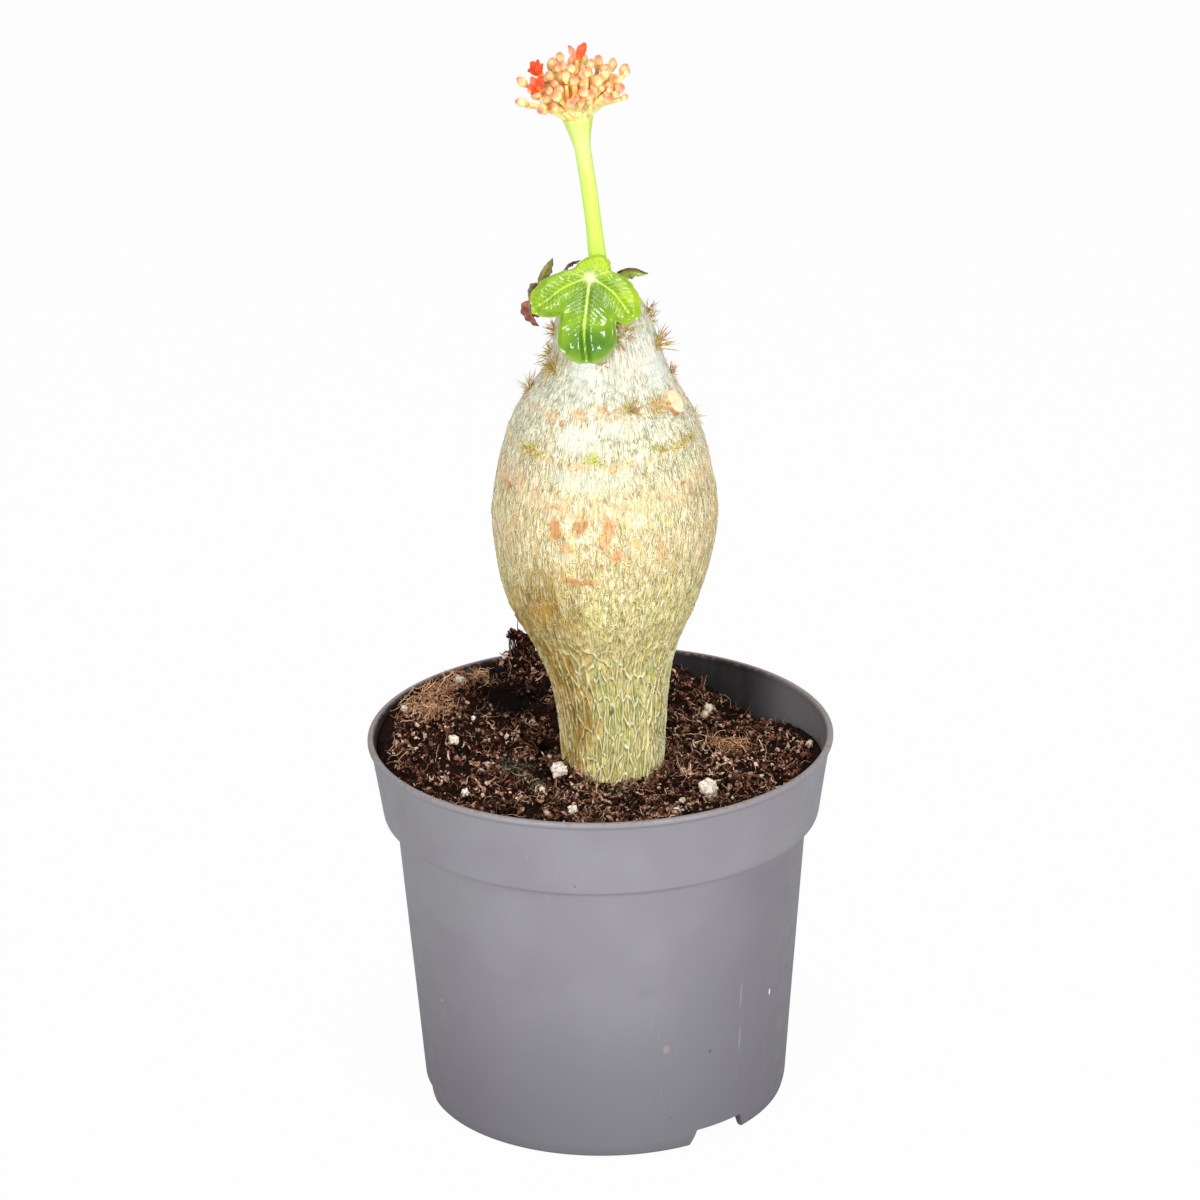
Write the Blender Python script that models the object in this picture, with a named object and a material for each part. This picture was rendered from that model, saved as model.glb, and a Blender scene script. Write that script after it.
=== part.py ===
"""Potted bottle-stem jatropha: a nursery pot, its soil, the swollen stem, leaves and flower head.

Metres, +Z up. The origin is the centre of the pot's foot, on the surface that the pot stands on.
The plant's front faces -Y. Angles round the pot and the stem are in degrees from the front,
growing towards +X. Pieces that touch on the real plant keep SEAT_GAP between their meshes.
"""

import math

import bmesh
import bpy
from mathutils import Vector, noise

SEAT_GAP = 0.0003

# Nursery pot
RIM_RADIUS = 0.060
POT_HEIGHT = 0.0988
WALL = 0.0012
BAND_LOW = 0.0778
BAND_LOW_RADIUS = 0.0565
BODY_TOP_RADIUS = 0.0531
BODY_LOW_RADIUS = 0.0473
FOOT_HEIGHT = 0.0049
FOOT_INNER_RADIUS = 0.0446
POT_STEPS = 56
NOTCH_ANGLES = (38, 158, 278)
NOTCH_WIDTH = 0.0186
NOTCH_TOP_WIDTH = 0.0142
NOTCH_HEIGHT = 0.0046
DRAIN_COUNT = 8
DRAIN_RADIUS = 0.0035
DRAIN_CIRCLE = 0.033

# Swollen stem: radius and sideways drift of its middle line, by height
STEM_DEPTH = -0.001
STEM_RADII = (
    (0.034, 0.0030), (0.045, 0.0055), (0.060, 0.0085), (0.075, 0.0110), (0.088, 0.0123),
    (0.095, 0.0129), (0.105, 0.0136), (0.115, 0.0150), (0.125, 0.0182), (0.135, 0.0233),
    (0.147, 0.0271), (0.160, 0.0286), (0.172, 0.0268), (0.184, 0.0236), (0.193, 0.0185),
    (0.201, 0.0142), (0.209, 0.0124), (0.214, 0.0106), (0.217, 0.0082), (0.219, 0.0048),
)
STEM_DRIFT = (
    (0.034, 0.0031), (0.105, 0.0031), (0.125, 0.0018), (0.135, 0.0014), (0.160, 0.0023),
    (0.193, 0.0023), (0.201, 0.0031), (0.209, 0.0024), (0.219, 0.0019),
)
STEM_TOP = 0.2198
STEM_LOBE = 0.008
STEM_STEPS = 36
BURIED_LEVELS = (0.034, 0.045, 0.060, 0.075, 0.084)
STEM_LEVEL_STEP = 0.0055
STEM_CROWN_LEVELS = (0.2122, 0.2140, 0.2156, 0.2170, 0.2181, 0.2190)
STEM_TIP_DROP = 0.0008

# Soil: base level and heaps or dips as (x, y, rise, spread)
SOIL_LEVEL = 0.0900
SOIL_HEAPS = (
    (-0.026, 0.034, 0.0062, 0.017),
    (-0.0205, 0.0445, 0.0105, 0.0036),
    (-0.034, 0.050, 0.0012, 0.014),
    (-0.047, 0.000, 0.0035, 0.016),
    (-0.050, 0.022, 0.0044, 0.018),
    (0.014, 0.047, 0.0075, 0.014),
    (0.037, 0.040, -0.0055, 0.012),
    (0.050, -0.005, 0.0020, 0.014),
    (0.004, -0.019, -0.0018, 0.008),
    (-0.019, 0.016, -0.0035, 0.006),
    (-0.004, -0.045, 0.0015, 0.016),
)
SOIL_RING_SHARES = (0.0, 0.12, 0.26, 0.40, 0.55, 0.70, 0.84, 0.94, 1.0)
SOIL_FOOT = 0.0064

# Flower stalk and flower head
STALK_BASE = Vector((0.0019, -0.0008, 0.2202))
STALK_BEND = Vector((-0.0004, -0.0004, 0.2420))
HEAD_CENTRE = Vector((-0.0032, 0.0, 0.2622))
HEAD_RADIUS = 0.0032
STALK_RADIUS_LOW = 0.0024
STALK_RADIUS_HIGH = 0.0020
RAY_LEAN = 64
RAY_RADIUS = 0.0008
PEDICEL_RADIUS = 0.0006
BUD_LENGTH = 0.0034
BUD_RADIUS = 0.00125
# A bud's outline as shares of its length and radius, and a flower's rings as
# (height, reach at a petal, reach between petals)
BUD_OUTLINE = ((0.0, 0.45), (0.16, 0.78), (0.42, 1.0), (0.70, 0.92), (0.90, 0.55))
FLOWER_RINGS = (
    (0.0, 0.0006, 0.0006), (0.0014, 0.0010, 0.0010), (0.0036, 0.0027, 0.0014),
    (0.0042, 0.0025, 0.0011), (0.0026, 0.0010, 0.0008),
)
FLOWER_HEART = 0.0022
# Rays of the flower head: angle and lean of each ray, then its three tips as
# (angle, radius round the head's centre, height) of what they carry, and what that is
RAYS = (
    (-92, RAY_LEAN, (
        (-93, 0.0134, 0.2710, "bud"), (-86, 0.0112, 0.2728, "flower"), (-101, 0.0078, 0.2752, "bud"),
    )),
    (-50, RAY_LEAN, (
        (-64, 0.0146, 0.2682, "bud"), (-56, 0.0122, 0.2700, "flower"), (-42, 0.0138, 0.2666, "bud"),
    )),
    (-12, RAY_LEAN, (
        (-23, 0.0118, 0.2704, "bud"), (-10, 0.0122, 0.2694, "bud"), (-22, 0.0078, 0.2738, "bud"),
    )),
    (38, RAY_LEAN, (
        (14, 0.0104, 0.2712, "bud"), (36, 0.0090, 0.2728, "bud"), (56, 0.0082, 0.2738, "bud"),
    )),
    (88, RAY_LEAN, (
        (88, 0.0119, 0.2738, "bud"), (76, 0.0112, 0.2706, "bud"), (98, 0.0098, 0.2746, "bud"),
    )),
    (146, RAY_LEAN, (
        (146, 0.0100, 0.2732, "bud"), (126, 0.0072, 0.2758, "bud"), (160, 0.0074, 0.2752, "bud"),
    )),
    (-150, RAY_LEAN, (
        (-150, 0.0104, 0.2726, "bud"), (-164, 0.0080, 0.2746, "bud"), (-136, 0.0066, 0.2764, "bud"),
    )),
    (0, 0, (
        (178, 0.0030, 0.2778, "flower"), (-44, 0.0036, 0.2770, "bud"), (20, 0.0040, 0.2752, "bud"),
    )),
)

# Main leaf: shield-shaped blade held at its hub. Outline as (angle, radius) round the hub, 0 down
LEAF_HUB = Vector((-0.0007, -0.0105, 0.2245))
LEAF_TILT = 21
LEAF_THICKNESS = 0.0008
LEAF_CURL = 4.0
LEAF_OUTLINE = (
    (-180, 0.0052), (-140, 0.0046), (-114, 0.0052), (-96, 0.0090), (-84, 0.0130), (-70, 0.0160),
    (-58, 0.0165), (-48, 0.0146), (-38, 0.0126), (-30, 0.0158), (-20, 0.0200), (-8, 0.0214),
    (-2, 0.0206), (4, 0.0209), (14, 0.0194), (22, 0.0166), (28, 0.0132), (38, 0.0150),
    (52, 0.0157), (66, 0.0136), (86, 0.0094), (104, 0.0058), (128, 0.0063), (152, 0.0064), (180, 0.0052),
)
LEAF_SHARES = (0.2, 0.42, 0.64, 0.84, 1.0)
LEAF_STEPS = 44
PETIOLE_RADIUS = 0.0011
PETIOLE_FOOT = (-18, 0.2170)
STALK_SEAT_SLACK = 0.0001

# Young leaves: blade line, half width, then the stalk's foot on the stem (angle, height) and
# the share of the blade line where the stalk joins it
YOUNG_LEAVES = {
    "young_leaf_left": (
        (
            (-0.0098, -0.0010, 0.2268), (-0.0128, -0.0020, 0.2210),
            (-0.0156, -0.0030, 0.2156), (-0.0138, -0.0036, 0.2112),
        ),
        0.0022, (-80, 0.2136), 0.5,
    ),
    "young_leaf_right": (
        (
            (0.0070, -0.0028, 0.2236), (0.0092, -0.0034, 0.2228),
            (0.0116, -0.0040, 0.2232), (0.0136, -0.0044, 0.2242),
        ),
        0.0013, (58, 0.2166), 0.25,
    ),
    "young_leaf_back": (
        (
            (-0.0068, 0.0046, 0.2190), (-0.0062, 0.0050, 0.2210),
            (-0.0055, 0.0048, 0.2230), (-0.0048, 0.0042, 0.2248),
        ),
        0.0011, (-128, 0.2168), 0.125,
    ),
}
YOUNG_STALK_RADIUS = 0.0007
YOUNG_BLADE_FLATNESS = 0.42

# Cut leaf stalk on the shoulder
STUB_ANGLE = 60
STUB_HEIGHT = 0.1914
STUB_RADIUS = 0.0031
STUB_LENGTH = 0.0022
STUB_OUTLINE = ((0.0, 0.90), (0.35, 1.0), (0.82, 1.0), (1.0, 0.88))

# Stipule tufts: angle round the stem, height, size
TUFTS = (
    (-82, 0.2085, 0.9), (-88, 0.2030, 0.9), (-68, 0.1988, 1.3), (-90, 0.1914, 0.9),
    (24, 0.2095, 1.4), (88, 0.2120, 0.8), (82, 0.2043, 1.3), (93, 0.1945, 1.0),
    (20, 0.1928, 0.9), (-7, 0.1819, 0.7), (42, 0.1912, 0.9),
)
TUFT_RADIUS = 0.0009
TUFT_SPINE = 0.0028

# Perlite grains on the soil: x, y, radius
GRAINS = (
    (-0.0108, -0.0105, 0.0019), (-0.0379, -0.0005, 0.0012), (-0.0345, -0.0240, 0.0011),
    (-0.0370, 0.0330, 0.0012), (0.0273, -0.0250, 0.0022), (-0.0072, -0.0360, 0.0011),
    (0.0285, 0.0330, 0.0011),
)

GREY = (0.36, 0.36, 0.38)
BROWN = (0.05, 0.022, 0.012)
PALE_GREEN = (0.62, 0.60, 0.33)
LIME = (0.58, 0.80, 0.12)
ORANGE = (0.90, 0.48, 0.16)
CREAM = (0.95, 0.72, 0.42)
RED = (0.85, 0.10, 0.04)
GREEN = (0.16, 0.42, 0.03)
WINE = (0.16, 0.07, 0.06)
TAN = (0.38, 0.26, 0.10)
BUFF = (0.80, 0.62, 0.42)
CHALK = (0.86, 0.83, 0.78)


def clear_scene():
    for thing in list(bpy.data.objects):
        bpy.data.objects.remove(thing, do_unlink=True)


def compass(angle):
    """Level unit vector at an angle from the front."""
    turn = math.radians(angle)
    return Vector((math.sin(turn), -math.cos(turn), 0.0))


def between(knots, at):
    """Smooth value at a place in sorted (place, value) knots, with no overshoot."""
    if at <= knots[0][0]:
        return knots[0][1]
    if at >= knots[-1][0]:
        return knots[-1][1]
    slopes = [(b[1] - a[1]) / (b[0] - a[0]) for a, b in zip(knots, knots[1:])]
    spot = max(i for i, knot in enumerate(knots[:-1]) if knot[0] <= at)
    start, end = knots[spot], knots[spot + 1]

    def lean(index):
        if index == 0 or index == len(knots) - 1:
            return slopes[min(index, len(slopes) - 1)]
        before, after = slopes[index - 1], slopes[index]
        return 0.0 if before * after <= 0 else 2 * before * after / (before + after)

    span = end[0] - start[0]
    t = (at - start[0]) / span
    return (
        (1 + 2 * t) * (1 - t) ** 2 * start[1]
        + t * (1 - t) ** 2 * span * lean(spot)
        + t * t * (3 - 2 * t) * end[1]
        + t * t * (t - 1) * span * lean(spot + 1)
    )


def material(name, colour, roughness):
    made = bpy.data.materials.new(name)
    made.use_nodes = True
    shader = made.node_tree.nodes["Principled BSDF"]
    shader.inputs["Base Color"].default_value = (*colour, 1.0)
    shader.inputs["Roughness"].default_value = roughness
    shader.inputs["Metallic"].default_value = 0.0
    return made


def add_object(name, mesh, colour, roughness=0.6, sharp=50):
    mesh.shade_smooth()
    mesh.set_sharp_from_angle(angle=math.radians(sharp))
    mesh.materials.append(material(name, colour, roughness))
    made = bpy.data.objects.new(name, mesh)
    bpy.context.collection.objects.link(made)
    return made


def skin(name, rings):
    """Closed mesh through rings of points. A ring of one point is a pole, and an end ring is capped."""
    work = bmesh.new()
    rows = [[work.verts.new(point) for point in ring] for ring in rings]
    for low, high in zip(rows, rows[1:]):
        count = max(len(low), len(high))
        for i in range(count):
            j = (i + 1) % count
            if len(low) == 1:
                work.faces.new((low[0], high[i], high[j]))
            elif len(high) == 1:
                work.faces.new((low[i], low[j], high[0]))
            else:
                work.faces.new((low[i], low[j], high[j], high[i]))
    for row in (rows[0], rows[-1]):
        if len(row) > 1:
            work.faces.new(row)
    bmesh.ops.recalc_face_normals(work, faces=work.faces)
    mesh = bpy.data.meshes.new(name)
    work.to_mesh(mesh)
    work.free()
    return mesh


def turned(name, profile, steps):
    """Solid of revolution round Z from (radius, height) points that start and end on the axis."""
    rings = []
    for radius, height in profile:
        if radius == 0:
            rings.append([Vector((0, 0, height))])
            continue
        rings.append(
            [compass(360 * i / steps) * radius + Vector((0, 0, height)) for i in range(steps)]
        )
    return skin(name, rings)


def smooth_path(points, count):
    """Evenly spaced points on a Catmull-Rom curve through the given points."""
    knots = [Vector(point) for point in points]
    padded = [2 * knots[0] - knots[1], *knots, 2 * knots[-1] - knots[-2]]
    made = []
    for step in range(count + 1):
        place = step / count * (len(knots) - 1)
        spot = min(int(place), len(knots) - 2)
        t = place - spot
        a, b, c, d = padded[spot:spot + 4]
        square = 2 * a - 5 * b + 4 * c - d
        cube = 3 * b - a - 3 * c + d
        made.append(0.5 * (2 * b + (c - a) * t + square * t * t + cube * t ** 3))
    return made


def tube_rings(path, radii, sides, side_axis=None, flat=1.0):
    """Rings round a path. With side_axis the section is an oval, wide along it and flat across it."""
    rings = []
    for i, point in enumerate(path):
        along = (path[min(i + 1, len(path) - 1)] - path[max(i - 1, 0)]).normalized()
        hint = side_axis or (Vector((1, 0, 0)) if abs(along.x) < 0.8 else Vector((0, 1, 0)))
        wide = (hint - along * hint.dot(along)).normalized()
        deep = along.cross(wide)
        rings.append(
            [
                point
                + wide * radii[i] * math.cos(math.tau * k / sides)
                + deep * radii[i] * flat * math.sin(math.tau * k / sides)
                for k in range(sides)
            ]
        )
    return rings


def helper(name, mesh):
    """Object that a Boolean reads and a render leaves out."""
    made = bpy.data.objects.new(name, mesh)
    bpy.context.collection.objects.link(made)
    made.hide_render = True
    made.display_type = "WIRE"
    return made


def boolean(target, other, operation):
    made = target.modifiers.new(other.name, "BOOLEAN")
    made.operation = operation
    made.solver = "EXACT"
    made.object = other


def build_pot():
    outer = [
        (FOOT_INNER_RADIUS - 0.0003, FOOT_HEIGHT), (FOOT_INNER_RADIUS, FOOT_HEIGHT - 0.0005),
        (FOOT_INNER_RADIUS, 0.0), (BODY_LOW_RADIUS - 0.0013, 0.0),
        (BODY_LOW_RADIUS - 0.0006, 0.0006), (BODY_LOW_RADIUS, 0.0030),
        (BODY_TOP_RADIUS, BAND_LOW - 0.0014), (BODY_TOP_RADIUS + 0.0006, BAND_LOW - 0.0004),
        (BAND_LOW_RADIUS - 0.0010, BAND_LOW), (BAND_LOW_RADIUS - 0.0002, BAND_LOW + 0.0004),
        (BAND_LOW_RADIUS, BAND_LOW + 0.0012),
    ]
    lip = [
        (RIM_RADIUS - 0.0007, POT_HEIGHT - 0.0016), (RIM_RADIUS, POT_HEIGHT - 0.0012),
        (RIM_RADIUS, POT_HEIGHT - 0.0004), (RIM_RADIUS - 0.0004, POT_HEIGHT),
        (RIM_RADIUS - 0.0014, POT_HEIGHT), (RIM_RADIUS - 0.0018, POT_HEIGHT - 0.0004),
    ]
    inner = [(radius, height) for height, radius in reversed(pot_inside())]
    profile = [(0, FOOT_HEIGHT), *outer, *lip, *inner, (0, FOOT_HEIGHT + WALL)]
    pot = add_object("pot", turned("pot", profile, POT_STEPS), GREY, 0.45, 35)
    boolean(pot, helper("foot_cutters", foot_cutters()), "DIFFERENCE")


def pot_inside():
    """Inner wall of the pot as (height, radius), from the floor up."""
    return (
        (FOOT_HEIGHT + WALL, BODY_LOW_RADIUS - 0.0040),
        (FOOT_HEIGHT + WALL + 0.0020, BODY_LOW_RADIUS - 0.0012),
        (BAND_LOW - 0.0014, BODY_TOP_RADIUS - WALL),
        (BAND_LOW - 0.0002, BODY_TOP_RADIUS - WALL + 0.0006),
        (BAND_LOW + 0.0010, BAND_LOW_RADIUS - WALL - 0.0008),
        (BAND_LOW + 0.0022, BAND_LOW_RADIUS - WALL),
        (POT_HEIGHT - 0.0016, RIM_RADIUS - 0.0018),
    )


def inside_radius(height):
    """Radius of the pot's inner wall at a height, between the profile's corners."""
    wall = pot_inside()
    for (low, first), (high, second) in zip(wall, wall[1:]):
        if height <= high:
            return first + (second - first) * (height - low) / (high - low)
    return wall[-1][1]


def foot_cutters():
    """Wedges for the foot's notches and rods for the drain holes, in one mesh."""
    work = bmesh.new()
    below = -0.001
    for angle in NOTCH_ANGLES:
        out, side = compass(angle), compass(angle + 90)
        corners = []
        for reach in (FOOT_INNER_RADIUS - 0.006, BODY_LOW_RADIUS + 0.004):
            for width, height in ((NOTCH_WIDTH, below), (NOTCH_TOP_WIDTH, NOTCH_HEIGHT)):
                for sign in (-1, 1):
                    spot = out * reach + side * sign * width / 2
                    corners.append(work.verts.new((spot.x, spot.y, height)))
        a, b, c, d, e, f, g, h = corners
        for face in ((a, b, d, c), (e, f, h, g), (a, b, f, e), (c, d, h, g), (a, c, g, e), (b, d, h, f)):
            work.faces.new(face)
    for i in range(DRAIN_COUNT):
        spot = compass(360 * (i + 0.5) / DRAIN_COUNT) * DRAIN_CIRCLE
        rod = bmesh.ops.create_cone(
            work, cap_ends=True, segments=16, radius1=DRAIN_RADIUS, radius2=DRAIN_RADIUS, depth=0.006
        )
        bmesh.ops.translate(work, verts=rod["verts"], vec=(spot.x, spot.y, FOOT_HEIGHT + WALL / 2))
    bmesh.ops.recalc_face_normals(work, faces=work.faces)
    mesh = bpy.data.meshes.new("foot_cutters")
    work.to_mesh(mesh)
    work.free()
    return mesh


def stem_point(angle, height, proud=0.0):
    """Point on the swollen stem's surface, or proud of it, level with its middle line."""
    middle = Vector((between(STEM_DRIFT, height), STEM_DEPTH, height))
    lobes = 1 + STEM_LOBE * math.sin(3 * math.radians(angle) + 40 * height)
    return middle + compass(angle) * (between(STEM_RADII, height) * lobes + proud)


def stem_normal(angle, height):
    step = 0.0006
    up = stem_point(angle, height + step) - stem_point(angle, height - step)
    round_way = stem_point(angle + 2, height) - stem_point(angle - 2, height)
    return round_way.cross(up).normalized()


def stem_seat(angle, height):
    """Start and direction of a stalk that stands on the stem."""
    seat = stem_normal(angle, height)
    return stem_point(angle, height) + seat * (SEAT_GAP + STALK_SEAT_SLACK), seat


def build_stem():
    first = BURIED_LEVELS[-1]
    last = STEM_RADII[-4][0]
    count = round((last - first) / STEM_LEVEL_STEP)
    levels = [*BURIED_LEVELS, *(first + (last - first) * (i + 1) / count for i in range(count))]
    levels += STEM_CROWN_LEVELS
    rings = [[Vector((STEM_DRIFT[0][1], STEM_DEPTH, levels[0] - STEM_TIP_DROP))]]
    for height in levels:
        rings.append([stem_point(360 * i / STEM_STEPS, height) for i in range(STEM_STEPS)])
    rings.append([Vector((STALK_BASE.x, STALK_BASE.y, STEM_TOP))])
    add_object("swollen_stem", skin("swollen_stem", rings), PALE_GREEN, 0.5)


def soil_height(x, y):
    rise = 0.0
    for heap_x, heap_y, height, spread in SOIL_HEAPS:
        rise += height * math.exp(-((x - heap_x) ** 2 + (y - heap_y) ** 2) / (2 * spread ** 2))
    crumble = 0.0006 * noise.noise(Vector((x, y, 0)) * 160)
    return SOIL_LEVEL + rise + crumble


def build_soil():
    pocket_foot = Vector((STEM_DRIFT[0][1], STEM_DEPTH, BURIED_LEVELS[0] - STEM_TIP_DROP - SEAT_GAP))
    angles = [360 * i / POT_STEPS for i in range(POT_STEPS)]
    rings = [[pocket_foot]]
    for level in BURIED_LEVELS:
        rings.append([stem_point(angle, level, SEAT_GAP) for angle in angles])
    for share in SOIL_RING_SHARES:
        ring = []
        for angle in angles:
            near = stem_point(angle, SOIL_LEVEL, SEAT_GAP)
            far = compass(angle) * (inside_radius(SOIL_LEVEL) - SEAT_GAP)
            spot = near.lerp(far, share)
            spot.z = soil_height(spot.x, spot.y)
            if share == 1.0:
                far = compass(angle) * (inside_radius(spot.z) - SEAT_GAP)
                spot.x, spot.y = far.x, far.y
            ring.append(spot)
        rings.append(ring)
    for height, radius in reversed(pot_inside()[:-1]):
        level = height + SEAT_GAP if height == pot_inside()[0][0] else height
        rings.append([compass(angle) * (radius - SEAT_GAP) + Vector((0, 0, level)) for angle in angles])
    rings.append([Vector((0, 0, SOIL_FOOT))])
    add_object("soil", skin("soil", rings), BROWN, 0.95, 80)


def build_stalk():
    path = smooth_path((STALK_BASE, STALK_BEND, HEAD_CENTRE), 12)
    radii = []
    for i in range(len(path)):
        share = i / (len(path) - 1)
        flare = max(0.0, (share - 0.84) / 0.16)
        body = STALK_RADIUS_LOW + (STALK_RADIUS_HIGH - STALK_RADIUS_LOW) * min(1.0, share * 3)
        radii.append(body + (HEAD_RADIUS - body) * flare)
    rings = tube_rings(path, radii, 16)
    for lift in (25, 50, 72):
        turn = math.radians(lift)
        rings.append(
            [
                HEAD_CENTRE
                + (point - HEAD_CENTRE) * math.cos(turn)
                + Vector((0, 0, HEAD_RADIUS * math.sin(turn)))
                for point in rings[len(path) - 1]
            ]
        )
    rings.append([HEAD_CENTRE + Vector((0, 0, HEAD_RADIUS))])
    add_object("flower_stalk", skin("flower_stalk", rings), LIME, 0.4)


def curved(start, out, end, count, arrive=None):
    """Path that leaves a start along out and bends to the end, which it may have to meet along arrive."""
    reach = (end - start).length * 0.4
    bend = start + out * reach
    last = end - arrive * reach if arrive else bend.lerp(end, 0.34)
    made = []
    for i in range(count + 1):
        t = i / count
        s = 1 - t
        made.append(start * s ** 3 + bend * 3 * t * s * s + last * 3 * t * t * s + end * t ** 3)
    return made


def pedicel_end(angle, radius, height):
    """Where a pedicel ends so that the bud or flower on it is centred on the given place."""
    spot = compass(angle) * radius
    centre = Vector((HEAD_CENTRE.x + spot.x, HEAD_CENTRE.y + spot.y, height))
    return centre - (centre - HEAD_CENTRE).normalized() * BUD_LENGTH / 2


def bud_mesh(name, foot, along):
    """Closed bud: a narrow foot, a round belly and a blunt tip."""
    path = [foot + along * BUD_LENGTH * share for share, _ in BUD_OUTLINE]
    rings = tube_rings(path, [BUD_RADIUS * size for _, size in BUD_OUTLINE], 8)
    rings.append([foot + along * BUD_LENGTH])
    return skin(name, rings)


def flower_mesh(name, foot, along):
    """Open flower: a short cup under five petals, as one closed star."""
    side = along.orthogonal().normalized()
    other = along.cross(side)
    count = 10

    def ring(lift, petal, gap):
        made = []
        for i in range(count):
            turn = math.tau * i / count
            reach = petal if i % 2 == 0 else gap
            made.append(foot + along * lift + (side * math.cos(turn) + other * math.sin(turn)) * reach)
        return made

    rings = [ring(*sizes) for sizes in FLOWER_RINGS]
    rings.append([foot + along * FLOWER_HEART])
    return skin(name, rings)


def build_flower_head():
    carried = {"bud": 0, "flower": 0}
    makers = {"bud": (bud_mesh, CREAM), "flower": (flower_mesh, RED)}
    for number, (angle, lean, tips) in enumerate(RAYS, 1):
        turn = math.radians(lean)
        out = compass(angle) * math.sin(turn) + Vector((0, 0, math.cos(turn)))
        start = HEAD_CENTRE + out * (HEAD_RADIUS + SEAT_GAP)
        main = curved(start, out, pedicel_end(*tips[0][:3]), 7)
        name = f"ray_{number}"
        radii = [RAY_RADIUS] * 4 + [PEDICEL_RADIUS] * 4
        ray = add_object(name, skin(name, tube_rings(main, radii, 7)), ORANGE)
        paths = [main]
        for branch, tip in enumerate(tips[1:], 1):
            leave = main[2 + branch % 2]
            way = (main[4] - main[2]).normalized()
            paths.append(curved(leave, way, pedicel_end(*tip[:3]), 5))
            arm_name = f"{name}_arm_{branch}"
            arm = skin(arm_name, tube_rings(paths[-1], [PEDICEL_RADIUS] * 6, 7))
            boolean(ray, helper(arm_name, arm), "UNION")
        for path, tip in zip(paths, tips):
            along = (path[-1] - path[-2]).normalized()
            kind = tip[3]
            carried[kind] += 1
            make, colour = makers[kind]
            node = f"{kind}_{carried[kind]}"
            add_object(node, make(node, path[-1] + along * SEAT_GAP, along), colour, 0.4)


def leaf_point(angle, share):
    """Point on the main leaf's middle surface."""
    reach = between(LEAF_OUTLINE, angle) * share
    turn, tilt = math.radians(angle), math.radians(LEAF_TILT)
    across, down = reach * math.sin(turn), reach * math.cos(turn)
    face = Vector((0, -math.cos(tilt), math.sin(tilt)))
    up = Vector((0, math.sin(tilt), math.cos(tilt)))
    return LEAF_HUB + Vector((across, 0, 0)) - up * down - face * LEAF_CURL * reach ** 2


def build_leaf():
    work = bmesh.new()
    hub = work.verts.new(LEAF_HUB)
    rows = []
    for share in LEAF_SHARES:
        rows.append(
            [work.verts.new(leaf_point(-180 + 360 * i / LEAF_STEPS, share)) for i in range(LEAF_STEPS)]
        )
    for i in range(LEAF_STEPS):
        j = (i + 1) % LEAF_STEPS
        work.faces.new((hub, rows[0][i], rows[0][j]))
        for low, high in zip(rows, rows[1:]):
            work.faces.new((low[i], high[i], high[j], low[j]))
    mesh = bpy.data.meshes.new("main_leaf")
    work.to_mesh(mesh)
    work.free()
    leaf = add_object("main_leaf", mesh, GREEN, 0.25)
    wall = leaf.modifiers.new("thickness", "SOLIDIFY")
    wall.thickness = LEAF_THICKNESS
    wall.offset = 0.0

    tilt = math.radians(LEAF_TILT)
    face = Vector((0, -math.cos(tilt), math.sin(tilt)))
    top = LEAF_HUB - face * (LEAF_THICKNESS / 2 + SEAT_GAP)
    path = curved(*stem_seat(*PETIOLE_FOOT), top, 8, face)
    add_object("main_petiole", skin("main_petiole", tube_rings(path, [PETIOLE_RADIUS] * 9, 8)), LIME, 0.4)


def build_young_leaves():
    for name, (blade_line, half_width, foot, share) in YOUNG_LEAVES.items():
        path = smooth_path(blade_line, 8)
        widths = [half_width * (0.12 + math.sin(math.pi * i / 8) ** 0.7) for i in range(9)]
        rings = tube_rings(path, widths, 8, Vector((0.94, -0.30, 0.10)), YOUNG_BLADE_FLATNESS)
        blade = add_object(name, skin(name, rings), WINE)
        stalk = curved(*stem_seat(*foot), path[round(share * 8)], 6)
        stalk_name = f"{name}_stalk"
        stalk_rings = tube_rings(stalk, [YOUNG_STALK_RADIUS] * 7, 7)
        boolean(blade, helper(stalk_name, skin(stalk_name, stalk_rings)), "UNION")


def build_stub():
    seat = stem_normal(STUB_ANGLE, STUB_HEIGHT)
    foot = stem_point(STUB_ANGLE, STUB_HEIGHT) + seat * SEAT_GAP * 1.2
    path = [foot + seat * STUB_LENGTH * share for share, _ in STUB_OUTLINE]
    rings = tube_rings(path, [STUB_RADIUS * size for _, size in STUB_OUTLINE], 14)
    add_object("petiole_stub", skin("petiole_stub", rings), BUFF, 0.7)


def build_tufts():
    """Spiny stipules: a small knob whose outward faces are drawn out to points."""
    for number, (angle, height, size) in enumerate(TUFTS, 1):
        seat = stem_normal(angle, height)
        centre = stem_point(angle, height) + seat * (TUFT_RADIUS * size + SEAT_GAP)
        work = bmesh.new()
        bmesh.ops.create_icosphere(work, subdivisions=1, radius=TUFT_RADIUS * size)
        bmesh.ops.translate(work, verts=work.verts, vec=centre)
        spread = [
            face for face in work.faces
            if (face.calc_center_median() - centre).normalized().dot(seat) > 0.25
        ]
        for index, face in enumerate(spread):
            way = (face.calc_center_median() - centre).normalized()
            reach = TUFT_SPINE * size * (0.65 + 0.35 * math.sin(2.4 * index + number))
            point = face.calc_center_median() + way * reach
            made = bmesh.ops.poke(work, faces=[face])
            made["verts"][0].co = point
        name = f"stipule_tuft_{number}"
        mesh = bpy.data.meshes.new(name)
        work.to_mesh(mesh)
        work.free()
        add_object(name, mesh, TAN, 0.7)


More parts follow.
